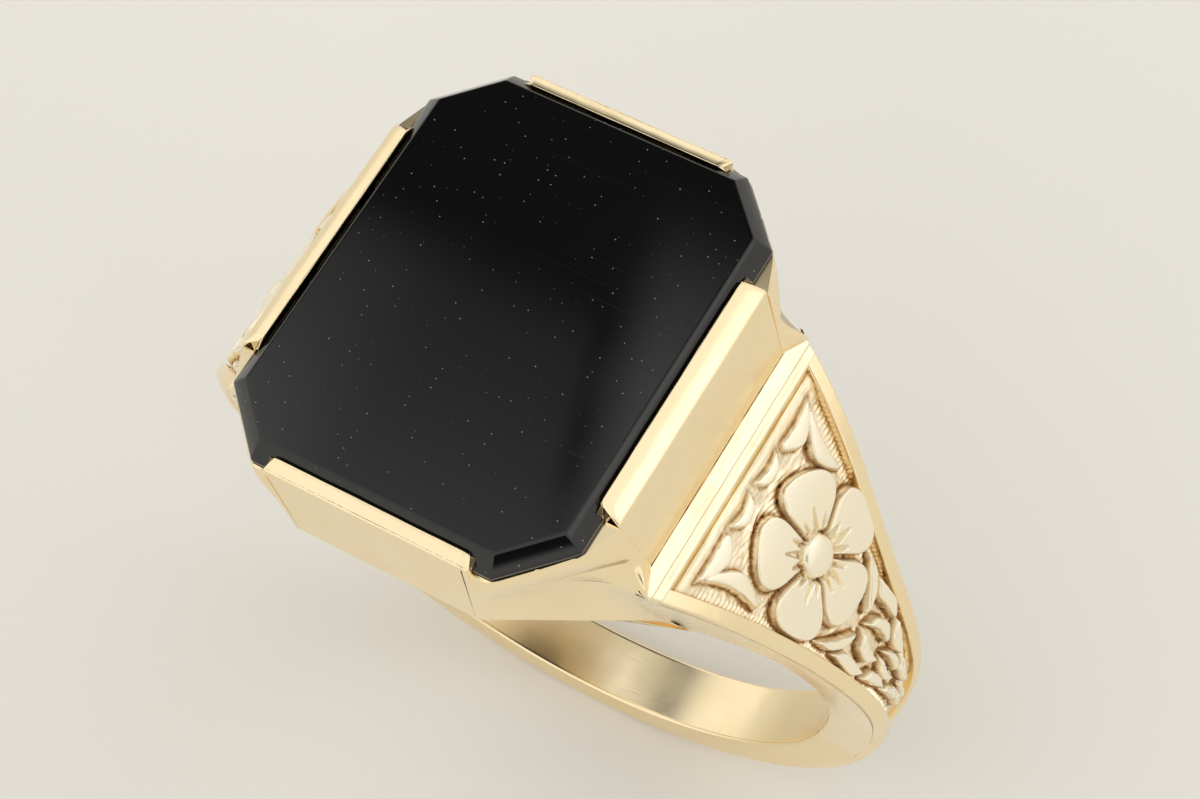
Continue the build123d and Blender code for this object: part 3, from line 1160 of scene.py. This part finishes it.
@dataclass(frozen=True)
class Blossom:
    """The five-petal flower with its domed boss."""

    centre: tuple[float, float] = (-0.17, 0.13)
    petals: int = 5
    reach: float = 2.45
    gap: float = 0.045
    corner_blend: float = 0.95
    boss: float = 0.61
    boss_rise: float = 0.13
    height: float = 0.33
    wall: float = 0.075
    notch_depth: float = 0.25

    def polar(self, up: np.ndarray,
              across: np.ndarray) -> tuple[np.ndarray, np.ndarray, np.ndarray]:
        """Places on the shoulder as seen from the flower's middle.

        Args:
            up: Distances up the shoulder.
            across: Distances across it.

        Returns:
            Radii, angles, and angles within the nearest petal.
        """
        x, y = up - self.centre[0], across - self.centre[1]
        radius, turn = np.hypot(x, y), np.arctan2(y, x)
        step = 2 * math.pi / self.petals
        local = (turn - math.pi + step / 2) % step - step / 2
        return radius, turn, local

    def inside(self, up: np.ndarray, across: np.ndarray) -> np.ndarray:
        """How far each place lies inside a petal.

        Args:
            up: Distances up the shoulder.
            across: Distances across it.

        Returns:
            The distances; negative outside.
        """
        radius, _, local = self.polar(up, across)
        half_step = math.pi / self.petals
        side = radius * np.sin(half_step - np.abs(local)) - self.gap
        return soft_min(side, self.reach - radius, self.corner_blend)

    def level(self, up: np.ndarray, across: np.ndarray) -> np.ndarray:
        """Height of the flower above the ground.

        Args:
            up: Distances up the shoulder.
            across: Distances across it.

        Returns:
            Heights; below zero where there is no flower.
        """
        radius, turn, local = self.polar(up, across)
        depth = self.inside(up, across)
        level = SUNK + (self.height - SUNK) * ease(-0.5 * self.wall, self.wall, depth)
        level = level + 0.035 * (1.0 - np.exp(-np.maximum(depth, 0.0) / 0.35))
        for lean, far, broad in ((0.0, 1.45, 0.125), (0.36, 1.24, 0.11), (-0.36, 1.20, 0.11)):
            line = np.abs(local - lean * (1.0 + 0.1 * np.sin(3.0 * turn))) * radius
            width = broad * np.clip((far - radius) / (far - 0.72), 0.0, 1.0)
            cut = ease(0.035, -0.035, line - width) * ease(far, far - 0.1, radius)
            level = level - self.notch_depth * cut * ease(0.62, 0.74, radius)
        collar = np.exp(-((radius - 0.66) / 0.055) ** 2)
        level = level - 0.16 * collar
        dome = np.sqrt(np.clip(1.0 - (radius / self.boss) ** 2, 0.0, 1.0))
        boss = self.height - 0.10 + (self.boss_rise + 0.10) * dome
        return np.where(radius < self.boss, boss, level)


def leaf_pattern() -> tuple[Blade, ...]:
    """The leaves of half a shoulder; the other half mirrors them."""
    return (
        Blade(((2.98, 3.28), (2.72, 2.62), (2.62, 2.08), (2.78, 1.66)),
              (0.03, 0.24, 0.34, 0.20)),
        Blade(((2.92, 3.16), (2.32, 2.62), (1.74, 2.30), (1.22, 2.33), (0.72, 2.47)),
              (0.04, 0.20, 0.32, 0.20, 0.02)),
        Blade(((3.04, 0.10), (2.74, 0.46), (2.70, 0.92), (3.00, 1.38)),
              (0.03, 0.21, 0.22, 0.03)),
        Blade(((-1.86, 1.62), (-2.48, 1.30), (-2.96, 0.86), (-3.28, 0.30)),
              (0.03, 0.20, 0.20, 0.03)),
        Blade(((-2.82, 1.42), (-3.36, 1.22), (-4.05, 1.20), (-4.72, 0.98)),
              (0.03, 0.25, 0.25, 0.03)),
        Blade(((-3.55, 0.10), (-3.95, 0.42), (-4.45, 0.52), (-5.05, 0.30)),
              (0.03, 0.21, 0.23, 0.03)),
        Blade(((-4.85, 1.12), (-5.30, 0.80), (-5.85, 0.66), (-6.50, 0.62)),
              (0.03, 0.23, 0.20, 0.03)),
        Blade(((-5.25, 0.08), (-5.75, 0.26), (-6.25, 0.28), (-6.85, 0.10)),
              (0.03, 0.15, 0.16, 0.03)),
        Blade(((-6.60, 0.66), (-7.15, 0.42), (-7.75, 0.34), (-8.35, 0.34)),
              (0.03, 0.18, 0.15, 0.03)),
        Blade(((-7.75, 0.05), (-8.35, 0.14), (-8.95, 0.16), (-9.60, 0.10)),
              (0.02, 0.10, 0.09, 0.02)),
    )


@dataclass(frozen=True)
class Relief:
    """Heights of everything chased on a shoulder, over one shared map."""

    hoop: Hoop
    middle_angle: float = 130.4
    map_radius: float = 12.7
    draw: float = 3.4
    draw_middle: float = 112.5
    draw_reach: float = 17.0
    map_low: float = -16.0
    map_high: float = 6.0
    rail: float = 0.48
    meeting_gap: float = 0.02
    meeting_angle: float = 70.0
    open_angle: float = 92.0
    bar_line: float = 3.25
    leaf_height: float = 0.32
    leaf_wall: float = 0.075
    hatch_pitch: float = 0.145
    blossom: Blossom = Blossom()
    leaves: tuple[Blade, ...] = field(default_factory=leaf_pattern)

    def angle(self, up: np.ndarray) -> np.ndarray:
        """Angle up the ring of a place on the map, which is drawn down along the waist."""
        even = self.middle_angle + np.degrees(np.asarray(up, float) / self.map_radius)
        return even - self.draw * np.exp(-((even - self.draw_middle) / self.draw_reach) ** 2)

    def up(self, angle: np.ndarray) -> np.ndarray:
        """Distance up the map of an angle."""
        places = np.linspace(self.map_low, self.map_high, 600)
        return np.interp(np.asarray(angle, float), self.angle(places), places)

    def rail_inner(self, angle: np.ndarray) -> np.ndarray:
        """Distance of a rail's inner wall from the middle of the shoulder.

        Args:
            angle: Degrees up from the bottom of the band.

        Returns:
            The distance at each angle.
        """
        opening = np.asarray(angle, float) - self.meeting_angle
        opening = opening / (self.open_angle - self.meeting_angle)
        opening = np.sqrt(np.clip(opening, 0.0, 1.0))
        return np.maximum(self.meeting_gap, (self.hoop.half_width(angle) - self.rail) * opening)

    def warped(self, up: np.ndarray, across: np.ndarray) -> tuple[np.ndarray, np.ndarray]:
        """The map's places, nudged a little as a graver held by hand would."""
        nudged_up = up + 0.022 * np.sin(2.3 * across + 1.1 * up)
        return nudged_up, across + 0.022 * np.sin(1.9 * up + 0.6)

    def in_leaf(self, up: np.ndarray, across: np.ndarray) -> np.ndarray:
        """How far each place lies inside a leaf.

        Args:
            up: Distances up the shoulder.
            across: Distances across it.

        Returns:
            The distances; negative outside.
        """
        up, across = self.warped(up, across)
        best = np.full(up.shape, FAR_OUTSIDE)
        for blade in self.leaves:
            best = np.maximum(best, blade.inside(up, np.abs(across)))
        return best

    def leaf_level(self, up: np.ndarray, across: np.ndarray) -> np.ndarray:
        """Height of the leaves above the ground.

        Args:
            up: Distances up the shoulder.
            across: Distances across it.

        Returns:
            Heights; below zero where there is no leaf.
        """
        depth = self.in_leaf(up, across)
        share = ease(-0.5 * self.leaf_wall, self.leaf_wall, depth)
        level = SUNK + (self.leaf_height - SUNK) * share
        return level + 0.03 * (1.0 - np.exp(-np.maximum(depth, 0.0) / 0.2))

    def nearness(self, up: np.ndarray, across: np.ndarray) -> dict[str, np.ndarray]:
        """Distances from each place on the ground to what stands on it.

        Args:
            up: Distances up the shoulder.
            across: Distances across it.

        Returns:
            Distances to the flower, the leaves, the rails and the bar.
        """
        return {
            "flower": -self.blossom.inside(up, across),
            "leaf": -self.in_leaf(up, across),
            "rail": self.rail_inner(self.angle(up)) - np.abs(across),
            "bar": self.bar_line - up,
        }

    def ground_level(self, up: np.ndarray,
                     across: np.ndarray) -> tuple[np.ndarray, np.ndarray, np.ndarray]:
        """Height, painted shade and brushing of the ground.

        Args:
            up: Distances up the shoulder.
            across: Distances across it.

        Returns:
            Heights above the nominal ground, painted shade from 0 to 1, and brushing from 0 to 1.
        """
        near = self.nearness(up, across)
        ramp = ease(0.95, 0.05, near["bar"])
        level = 0.26 * ramp
        rail_band = ease(0.34, 0.24, near["rail"]) * (1.0 - ramp)
        ticks = 0.5 + 0.5 * np.sin(2 * math.pi * up / self.hatch_pitch + 1.5 * np.sin(1.3 * up))
        level = level + 0.06 * rail_band * ticks
        radius, turn, _ = self.blossom.polar(up, across)
        petal_band = ease(0.24, 0.15, near["flower"]) * (1.0 - rail_band) * (1.0 - ramp)
        rope = 0.5 + 0.5 * np.sin(2 * math.pi * (radius / 0.15 + 0.8 * np.sin(5 * turn)))
        level = level + 0.055 * petal_band * rope
        rough = np.sin(17.0 * up + 5.0 * np.sin(9.0 * across))
        rough = rough * np.sin(23.0 * across + 4.0 * np.sin(7.0 * up))
        level = level + 0.018 * rough * (1.0 - 0.4 * ramp)
        filed = hand_wobble(9.0 * (up + 0.04 * np.sin(1.7 * across)), 3.0)
        level = level + 0.022 * filed * ramp
        # Painted shade: the ground darkens next to the flower, leaves and rails, and a little all
        # over away from the bar, less on the raised ticks and rope.
        edge = np.minimum(np.abs(near["flower"]), np.abs(near["leaf"]))
        edge = np.minimum(edge, np.maximum(near["rail"], 0))
        crevice = np.exp(-np.maximum(edge - 0.02, 0.0) / 0.055)
        wide = 0.20 * (1.0 - ramp) * (1.0 - 0.35 * ticks * rail_band - 0.35 * rope * petal_band)
        tarnish = np.clip(np.maximum(crevice * (0.95 - 0.35 * ramp), wide), 0.0, 1.0)
        level = level - 0.05 * crevice
        return level, tarnish, ramp

    def place(self, up: np.ndarray, across: np.ndarray, level: np.ndarray) -> np.ndarray:
        """Carry places and heights on the map onto the right shoulder."""
        angle = self.angle(up)
        return self.hoop.point(angle, self.hoop.ground(angle) + level, across)

    def sheet(self, up_range: tuple[float, float], across: float, step: float,
              level: LevelFunction, foot_shade_top: float) -> Shell:
        """The raised part of a height function as a closed shell.

        Args:
            up_range: Lowest and highest distance up the shoulder.
            across: Largest distance across it.
            step: Size of a cell.
            level: Height function.
            foot_shade_top: Height at which the painted shade at the foot of a wall ends.

        Returns:
            The closed shell.
        """
        rows = np.arange(up_range[0], up_range[1] + step, step)
        columns = np.arange(-across, across + step, step)
        up, side = np.meshgrid(rows, columns, indexing="ij")
        height = level(up, side)
        raised = height > CUT_OFF
        cells = raised[:-1, :-1] | raised[1:, :-1] | raised[:-1, 1:] | raised[1:, 1:]
        # Painted shade: each raised piece darkens towards the foot of its walls.
        tarnish = ease(foot_shade_top, 0.02, height)
        base = self.place(up, side, np.full(up.shape, BASE))
        return cushion(self.place(up, side, height), base, cells, tarnish)


# ------------------------------------------------------------------ shoulders

@dataclass(frozen=True)
class Shoulder:
    """One fan-shaped shoulder: ground plate, bar, two rails, flower and leaves."""

    hoop: Hoop
    form: SettingForm
    relief: Relief
    side: Side
    bar_foot: float = 10.2
    bar_inner_z: float = 11.33
    bar_step: tuple[tuple[float, float], ...] = ((7.01, 11.04), (7.03, 10.985))
    bar_outer: tuple[float, float] = (7.27, 10.84)
    bar_angle: float = 145.4
    plate_end: float = 146.95
    plate_end_bore: float = 137.1
    start: float = 70.0
    groove: float = 0.045
    rail_end: float = 146.25
    flower_range: tuple[float, float] = (-2.85, 2.5)
    flower_half: float = 2.75
    flower_cell: float = 0.032
    leaf_range: tuple[float, float] = (-9.8, 3.35)
    leaf_half: float = 3.5
    leaf_cell: float = 0.034
    # Height up the walls of the flower and leaves where their painted shade ends.
    wall_dark: float = 0.17

    def plate(self) -> Shell:
        """The curved plate with its chased ground.

        Returns:
            The closed shell, with its painted shade and brushing.
        """
        rows = np.concatenate([
            np.linspace(self.start, self.bar_angle, 470),
            np.linspace(self.bar_angle, self.plate_end, 7)[1:],
        ])
        share = (rows - self.start) / (self.plate_end - self.start)
        bore_rows = self.start + share * (self.plate_end_bore - self.start)
        width, bore_width = self.hoop.half_width(rows), self.hoop.half_width(bore_rows)
        spacing = np.linspace(-1.0, 1.0, 93)
        spacing = np.sign(spacing) * (1.0 - (1.0 - np.abs(spacing)) ** 1.25)
        up = np.repeat(self.relief.up(rows)[:, None], len(spacing), axis=1)
        across = width[:, None] * spacing[None, :]
        level, tarnish, brushed = self.relief.ground_level(up, across)
        inside = ease(0.0, 0.04, self.relief.rail_inner(rows)[:, None] + 0.10 - np.abs(across))
        level = level * inside
        radius = self.hoop.ground(rows)[:, None] + level
        under_bar = (self.bar_foot - 0.02) / -np.cos(np.radians(rows))
        lowered = np.minimum(radius, under_bar[:, None])
        radius = np.where(rows[:, None] > self.bar_angle, lowered, radius)
        top = self.hoop.point(rows[:, None], radius, across)
        soft = 0.13
        hold = self.hoop.bore
        lower = [(hold + soft, 0.0), (hold + 0.04, 0.035), (hold, soft)]
        right = [self.hoop.point(bore_rows, r, bore_width - inset) for r, inset in lower]
        left = [self.hoop.point(bore_rows, r, inset - bore_width) for r, inset in reversed(lower)]
        rings = np.concatenate([top, np.stack(right + left, axis=1)], axis=1)
        shell = tube(rings)
        blank = np.zeros((len(rows), 6))
        # The ground's painted shade and brushing; the six points along the finger side get none.
        dark = np.concatenate([tarnish * (inside > 0), blank], axis=1).reshape(-1)
        rough = np.concatenate([brushed * (inside > 0), blank], axis=1).reshape(-1)
        shell.marks = {Mark.TARNISH: dark, Mark.BRUSHED: rough}
        return shell

    def rail(self) -> Shell:
        """The raised border along the back edge.

        Returns:
            The closed shell, with a line of painted shade in the groove along its foot.
        """
        rings = []
        for angle in np.linspace(self.start, self.rail_end, 150):
            crown, ground = float(self.hoop.crown(angle)), float(self.hoop.ground(angle))
            width, inner = float(self.hoop.half_width(angle)), float(self.relief.rail_inner(angle))
            round_over = 0.35 - 0.27 * float(ease(70.0, 104.0, angle))
            crown = crown + 0.006 * float(hand_wobble(np.array(angle / 4.0), 4.0))
            groove = self.groove * float(ease(80.0, 100.0, angle))
            corners = [
                (ground, width - groove), (ground + groove, width), (crown, width),
                (crown, inner), (ground - 0.10, max(inner - 0.03, 0.003)),
            ]
            room = (width - inner) * 0.42
            cuts = [0.0, 0.0, min(round_over, room), min(0.07, room), 0.0]
            outline = rounded(corners, cuts, 6, 0.01)
            rings.append(self.hoop.point(angle, outline[:, 0], outline[:, 1]))
        shell = tube(np.array(rings))
        # Painted shade: a dark line in the groove along the rail's outer foot.
        dark = np.zeros(np.array(rings).shape[:2])
        dark[:, 0], dark[:, 1] = 1.0, 0.3
        shell.marks = {Mark.TARNISH: dark.reshape(-1)}
        return shell

    def bar(self) -> Shell:
        """The bright bar across the shoulder, next to the setting.

        Returns:
            The closed shell, with its brushing.
        """
        wall_x = float(self.form.side_x(self.bar_foot)) + 0.004
        corners = [
            (wall_x, self.bar_foot), (wall_x, self.bar_inner_z), *self.bar_step,
            self.bar_outer, (self.bar_outer[0] + 0.02, self.bar_foot),
        ]
        profile = rounded(corners, [0.0, 0.05, 0.012, 0.012, 0.07, 0.0], 5, 0.005)
        x, z = profile[:, 0], profile[:, 1]
        length = self.hoop.half_width(self.hoop.angle_of(x, z))
        normal = outward(profile)
        top = ease(10.35, 10.9, z)
        turns = np.linspace(math.pi / 2, 0.0, 6)
        soft = 0.09
        ends = [(1.0, soft * (1 - math.sin(a)), soft * (1 - math.cos(a))) for a in turns]
        middle = [(share, 0.0, 0.0) for share in np.linspace(0.96, -0.96, 80)]
        rings = []
        for share, back, sink in ends + middle + [(-s, b, k) for s, b, k in reversed(ends)]:
            y = share * length - math.copysign(1.0, share) * back * top
            wave = 0.010 * hand_wobble(y * 1.7, 6.0) * top
            offset = wave - sink * top
            ring = [x + normal[:, 0] * offset, y, z + normal[:, 1] * offset]
            rings.append(np.stack(ring, axis=1))
        shell = tube(np.array(rings))
        shell.marks = {Mark.BRUSHED: np.tile(0.8 * ease(10.7, 10.95, z), len(rings))}
        return shell

    def make(self, polished: bpy.types.Material, matted: bpy.types.Material,
             chased: bpy.types.Material, worn: bpy.types.Material) -> None:
        """Build every piece of the shoulder.

        Args:
            polished: The polished gold material of the rails.
            matted: The gold material of the sunk ground.
            chased: The satin gold material of the flower and leaves, paler and partly non-metal as
                a painted sheen.
            worn: The rubbed, scratched gold material of the bar.
        """
        side, word, relief = self.side, self.side.word, self.relief
        make_piece(f"shoulder_ground_{word}", self.plate().mirrored(side), matted,
                   (f"shoulder_plate_{word}",), GROUND_CREASE)
        make_piece(f"bright_bar_{word}", self.bar().mirrored(side), worn,
                   (f"shoulder_bar_{word}",), GOLD_CREASE)
        rail = self.rail()
        for edge in Edge:
            place = f"{edge.word}_{word}"
            make_piece(f"border_rail_{place}", rail.mirrored(side, edge), polished,
                       (f"shoulder_rail_{place}",), GOLD_CREASE)
        flower = relief.sheet(self.flower_range, self.flower_half, self.flower_cell,
                              relief.blossom.level, self.wall_dark)
        make_piece(f"blossom_{word}", flower.mirrored(side), chased,
                   (f"flower_{word}",), None)
        leaves = relief.sheet(self.leaf_range, self.leaf_half, self.leaf_cell,
                              relief.leaf_level, self.wall_dark)
        make_piece(f"leafage_{word}", leaves.mirrored(side), chased,
                   (f"scroll_leaves_{word}",), None)


@dataclass(frozen=True)
class Band:
    """The plain lower band."""

    hoop: Hoop
    end: float = 69.99
    edge_round: float = 0.35
    bore_round: float = 0.13
    stations: int = 141

    def make(self, finish: bpy.types.Material) -> bpy.types.Object:
        """Build the band.

        Args:
            finish: The polished gold material.

        Returns:
            The band.
        """
        rings = []
        for angle in np.linspace(-self.end, self.end, self.stations):
            crown = float(self.hoop.crown(abs(angle)))
            width = float(self.hoop.half_width(abs(angle)))
            bore = self.hoop.bore
            corners = [(bore, -width), (crown, -width), (crown, width), (bore, width)]
            cuts = [self.bore_round, self.edge_round, self.edge_round, self.bore_round]
            outline = rounded(corners, cuts, 8, 0.02)
            rings.append(self.hoop.point(angle, outline[:, 0], outline[:, 1]))
        shell = tube(np.array(rings))
        return make_piece("plain_band", shell, finish, ("shank_band",),
                          GOLD_CREASE)


# ------------------------------------------------------------------ studio

@dataclass(frozen=True)
class Studio:
    """Pale floor, soft light and the camera."""

    camera_place: tuple[float, float, float] = (32.74, -31.72, 90.91)
    camera_right: tuple[float, float, float] = (0.85366, 0.50699, -0.11928)
    camera_up: tuple[float, float, float] = (-0.40261, 0.78764, 0.46640)
    camera_back: tuple[float, float, float] = (0.33041, -0.35012, 0.87650)
    lens: float = 97.1
    floor_half: float = 1.5
    key_from: tuple[float, float, float] = (0.77, 0.35, 0.53)
    key_distance: float = 0.42
    key_size: float = 0.17
    key_power: float = 0.04
    room_level: float = 1.07
    room_low: Colour = (1.0, 0.972, 0.915, 1.0)
    room_high: Colour = (1.0, 0.99, 0.965, 1.0)

    def floor(self) -> None:
        """Lay the floor under the band."""
        half = self.floor_half
        count = 12
        steps = np.linspace(-half, half, count + 1)
        z = CAD_BOX[0].z
        points = [(x, y, z) for x in steps for y in steps]
        faces = []
        for row in range(count):
            for column in range(count):
                first = row * (count + 1) + column
                faces.append((first, first + count + 1, first + count + 2, first + 1))
        mesh = bpy.data.meshes.new("studio_floor")
        mesh.from_pydata(points, [], faces)
        mesh.materials.append(TableFinish().material())
        floor = bpy.data.objects.new("studio_floor", mesh)
        bpy.context.scene.collection.objects.link(floor)

    def sky(self) -> None:
        """Surround the ring with a bright room, with a dim banded wall and a dim patch in it.

        Directions are measured as in a plan of the ceiling: across and along it at unit height.
        """
        world = bpy.data.worlds.new("soft_room")
        bpy.context.scene.world = world
        world.use_nodes = True
        bench = NodeBench(world.node_tree)
        way = bench.add("ShaderNodeTexCoord").outputs["Generated"]
        split = bench.add("ShaderNodeSeparateXYZ")
        bench.join(way, split.inputs[0])
        x, y, z = split.outputs
        height = bench.maths("MAXIMUM", z, 0.05)
        across = bench.maths("DIVIDE", x, height)
        along = bench.maths("DIVIDE", y, height)

        window = bench.spread(across, -2.2, -0.9)
        window = bench.maths("MULTIPLY", bench.spread(along, 3.4, 1.4), window)
        window = bench.maths("MULTIPLY", window, bench.spread(across, 0.55, -0.30))
        window = bench.maths("MULTIPLY", window, bench.spread(z, 0.05, 0.25))
        fall = bench.maths("MULTIPLY_ADD", bench.spread(along, 0.42, 0.25), 0.70,
                           bench.spread(along, 0.441, 0.405, 0.0, 0.24))
        fall = bench.maths("MULTIPLY", fall, bench.spread(across, -0.44, -0.50, 1.0, 1.8))
        slant = bench.maths("MULTIPLY_ADD", along, -0.34, -0.2463)
        past = bench.maths("SUBTRACT", across, slant)
        strip = bench.maths("MULTIPLY", bench.spread(bench.maths("ABSOLUTE", past), 0.007, 0.001),
                            bench.spread(along, 0.34, 0.37))
        fall = bench.maths("MULTIPLY", fall, bench.maths("MULTIPLY_ADD", strip, -0.8, 1.0))
        pale = bench.spread(across, -0.28, -0.34)
        pale = bench.maths("MULTIPLY", bench.spread(past, 0.004, 0.022), pale)
        pale = bench.maths("MULTIPLY", pale, bench.spread(along, 0.49, 0.43))
        pale = bench.maths("MULTIPLY", pale, bench.spread(along, 0.30, 0.35))
        shown = bench.maths("MULTIPLY_ADD", pale, 0.62, bench.maths("ADD", fall, 0.085))
        full = self.room_level
        shown = bench.maths("MINIMUM", shown, full)
        level = bench.maths("MULTIPLY_ADD", window, bench.maths("SUBTRACT", shown, full), full)
        watcher = self.towards(bench, way, (0.62, -0.60, 0.46), 0.93, 0.985)
        level = bench.maths("MULTIPLY", level, bench.maths("MULTIPLY_ADD", watcher, -0.93, 1.0))
        colour = bench.blend(bench.spread(z, -0.2, 0.6), self.room_low, self.room_high)
        shader = bench.add("ShaderNodeBackground")
        bench.join(colour, shader.inputs["Color"])
        bench.join(level, shader.inputs["Strength"])
        bench.join(shader.outputs[0], bench.add("ShaderNodeOutputWorld").inputs[0])

    @staticmethod
    def towards(bench: NodeBench, way: bpy.types.NodeSocket, direction: tuple[float, float, float],
                low: float, high: float) -> bpy.types.NodeSocket:
        """A soft round patch of the room.

        Args:
            bench: The room's node bench.
            way: The direction's socket.
            direction: Middle of the patch.
            low: Cosine at its outer edge.
            high: Cosine where it is full.

        Returns:
            Shares from 0 to 1.
        """
        node = bench.add("ShaderNodeVectorMath", operation="DOT_PRODUCT")
        bench.join(way, node.inputs[0])
        node.inputs[1].default_value = Vector(direction).normalized()
        return bench.spread(node.outputs["Value"], low, high)

    def key_light(self) -> None:
        """Hang one soft square lamp over the right shoulder."""
        data = bpy.data.lights.new("soft_key", "AREA")
        data.shape = "SQUARE"
        data.size = self.key_size
        data.energy = self.key_power
        data.color = (1.0, 0.985, 0.955)
        lamp = bpy.data.objects.new("soft_key", data)
        way = Vector(self.key_from).normalized()
        lamp.location = way * self.key_distance
        lamp.rotation_euler = way.to_track_quat("Z", "Y").to_euler()
        bpy.context.scene.collection.objects.link(lamp)

    def camera(self) -> None:
        """Place the camera."""
        data = bpy.data.cameras.new("main_view")
        data.lens = self.lens
        data.sensor_width = 36.0
        data.clip_start = 0.001
        data.clip_end = 20.0
        camera = bpy.data.objects.new("main_view", data)
        columns = (self.camera_right, self.camera_up, self.camera_back)
        turn = Matrix(columns).transposed().to_4x4()
        camera.matrix_world = Matrix.Translation(Vector(self.camera_place) * MM) @ turn
        bpy.context.scene.collection.objects.link(camera)
        bpy.context.scene.camera = camera

    def set_up(self) -> None:
        """Set up the floor, light, camera and picture tones."""
        self.camera()
        self.floor()
        self.sky()
        self.key_light()
        bpy.context.scene.view_settings.view_transform = "Standard"
        bpy.context.scene.view_settings.look = "None"


# ------------------------------------------------------------------ the whole ring

def bore_radius() -> float:
    """Radius of the finger hole, from the record's mount."""
    for mount in frame["record"]["mounts"]:
        if mount["name"] == "finger_hole":
            return float(mount["dims"]["r_mm"])
    raise ValueError("the record has no mount named finger_hole")


def main() -> None:
    """Build the ring and its studio."""
    logging.basicConfig(level=logging.INFO, format="%(name)s: %(message)s")
    hoop = Hoop(bore_radius())
    form = SettingForm(bore=hoop.bore)
    relief = Relief(hoop)
    polished = GoldFinish("polished_gold").material()
    matted = GoldFinish(
        "matted_gold", (0.98, 0.86, 0.64, 1.0), (0.93, 0.78, 0.52, 1.0),
        roughness=0.20, worn_roughness=0.32, grain_mm=0.004,
    ).material()
    # Satin chased gold: its paler colour and part non-metal make-up are a painted sheen that
    # brightens the flower and leaves.
    chased = GoldFinish(
        "chased_gold", (1.0, 0.92, 0.73, 1.0), (0.99, 0.87, 0.64, 1.0),
        roughness=0.24, worn_roughness=0.34, metallic=0.82,
    ).material()
    worn = GoldFinish("worn_gold", (0.97, 0.86, 0.62, 1.0), (0.80, 0.60, 0.34, 1.0)).material()
    Studio().set_up()
    OnyxTablet().make(OnyxFinish().material())
    Setting(form, hoop).make(polished)
    for side in Side:
        Shoulder(hoop, form, relief, side).make(polished, matted, chased, worn)
    Band(hoop).make(polished)


if __name__ == "__main__":
    main()
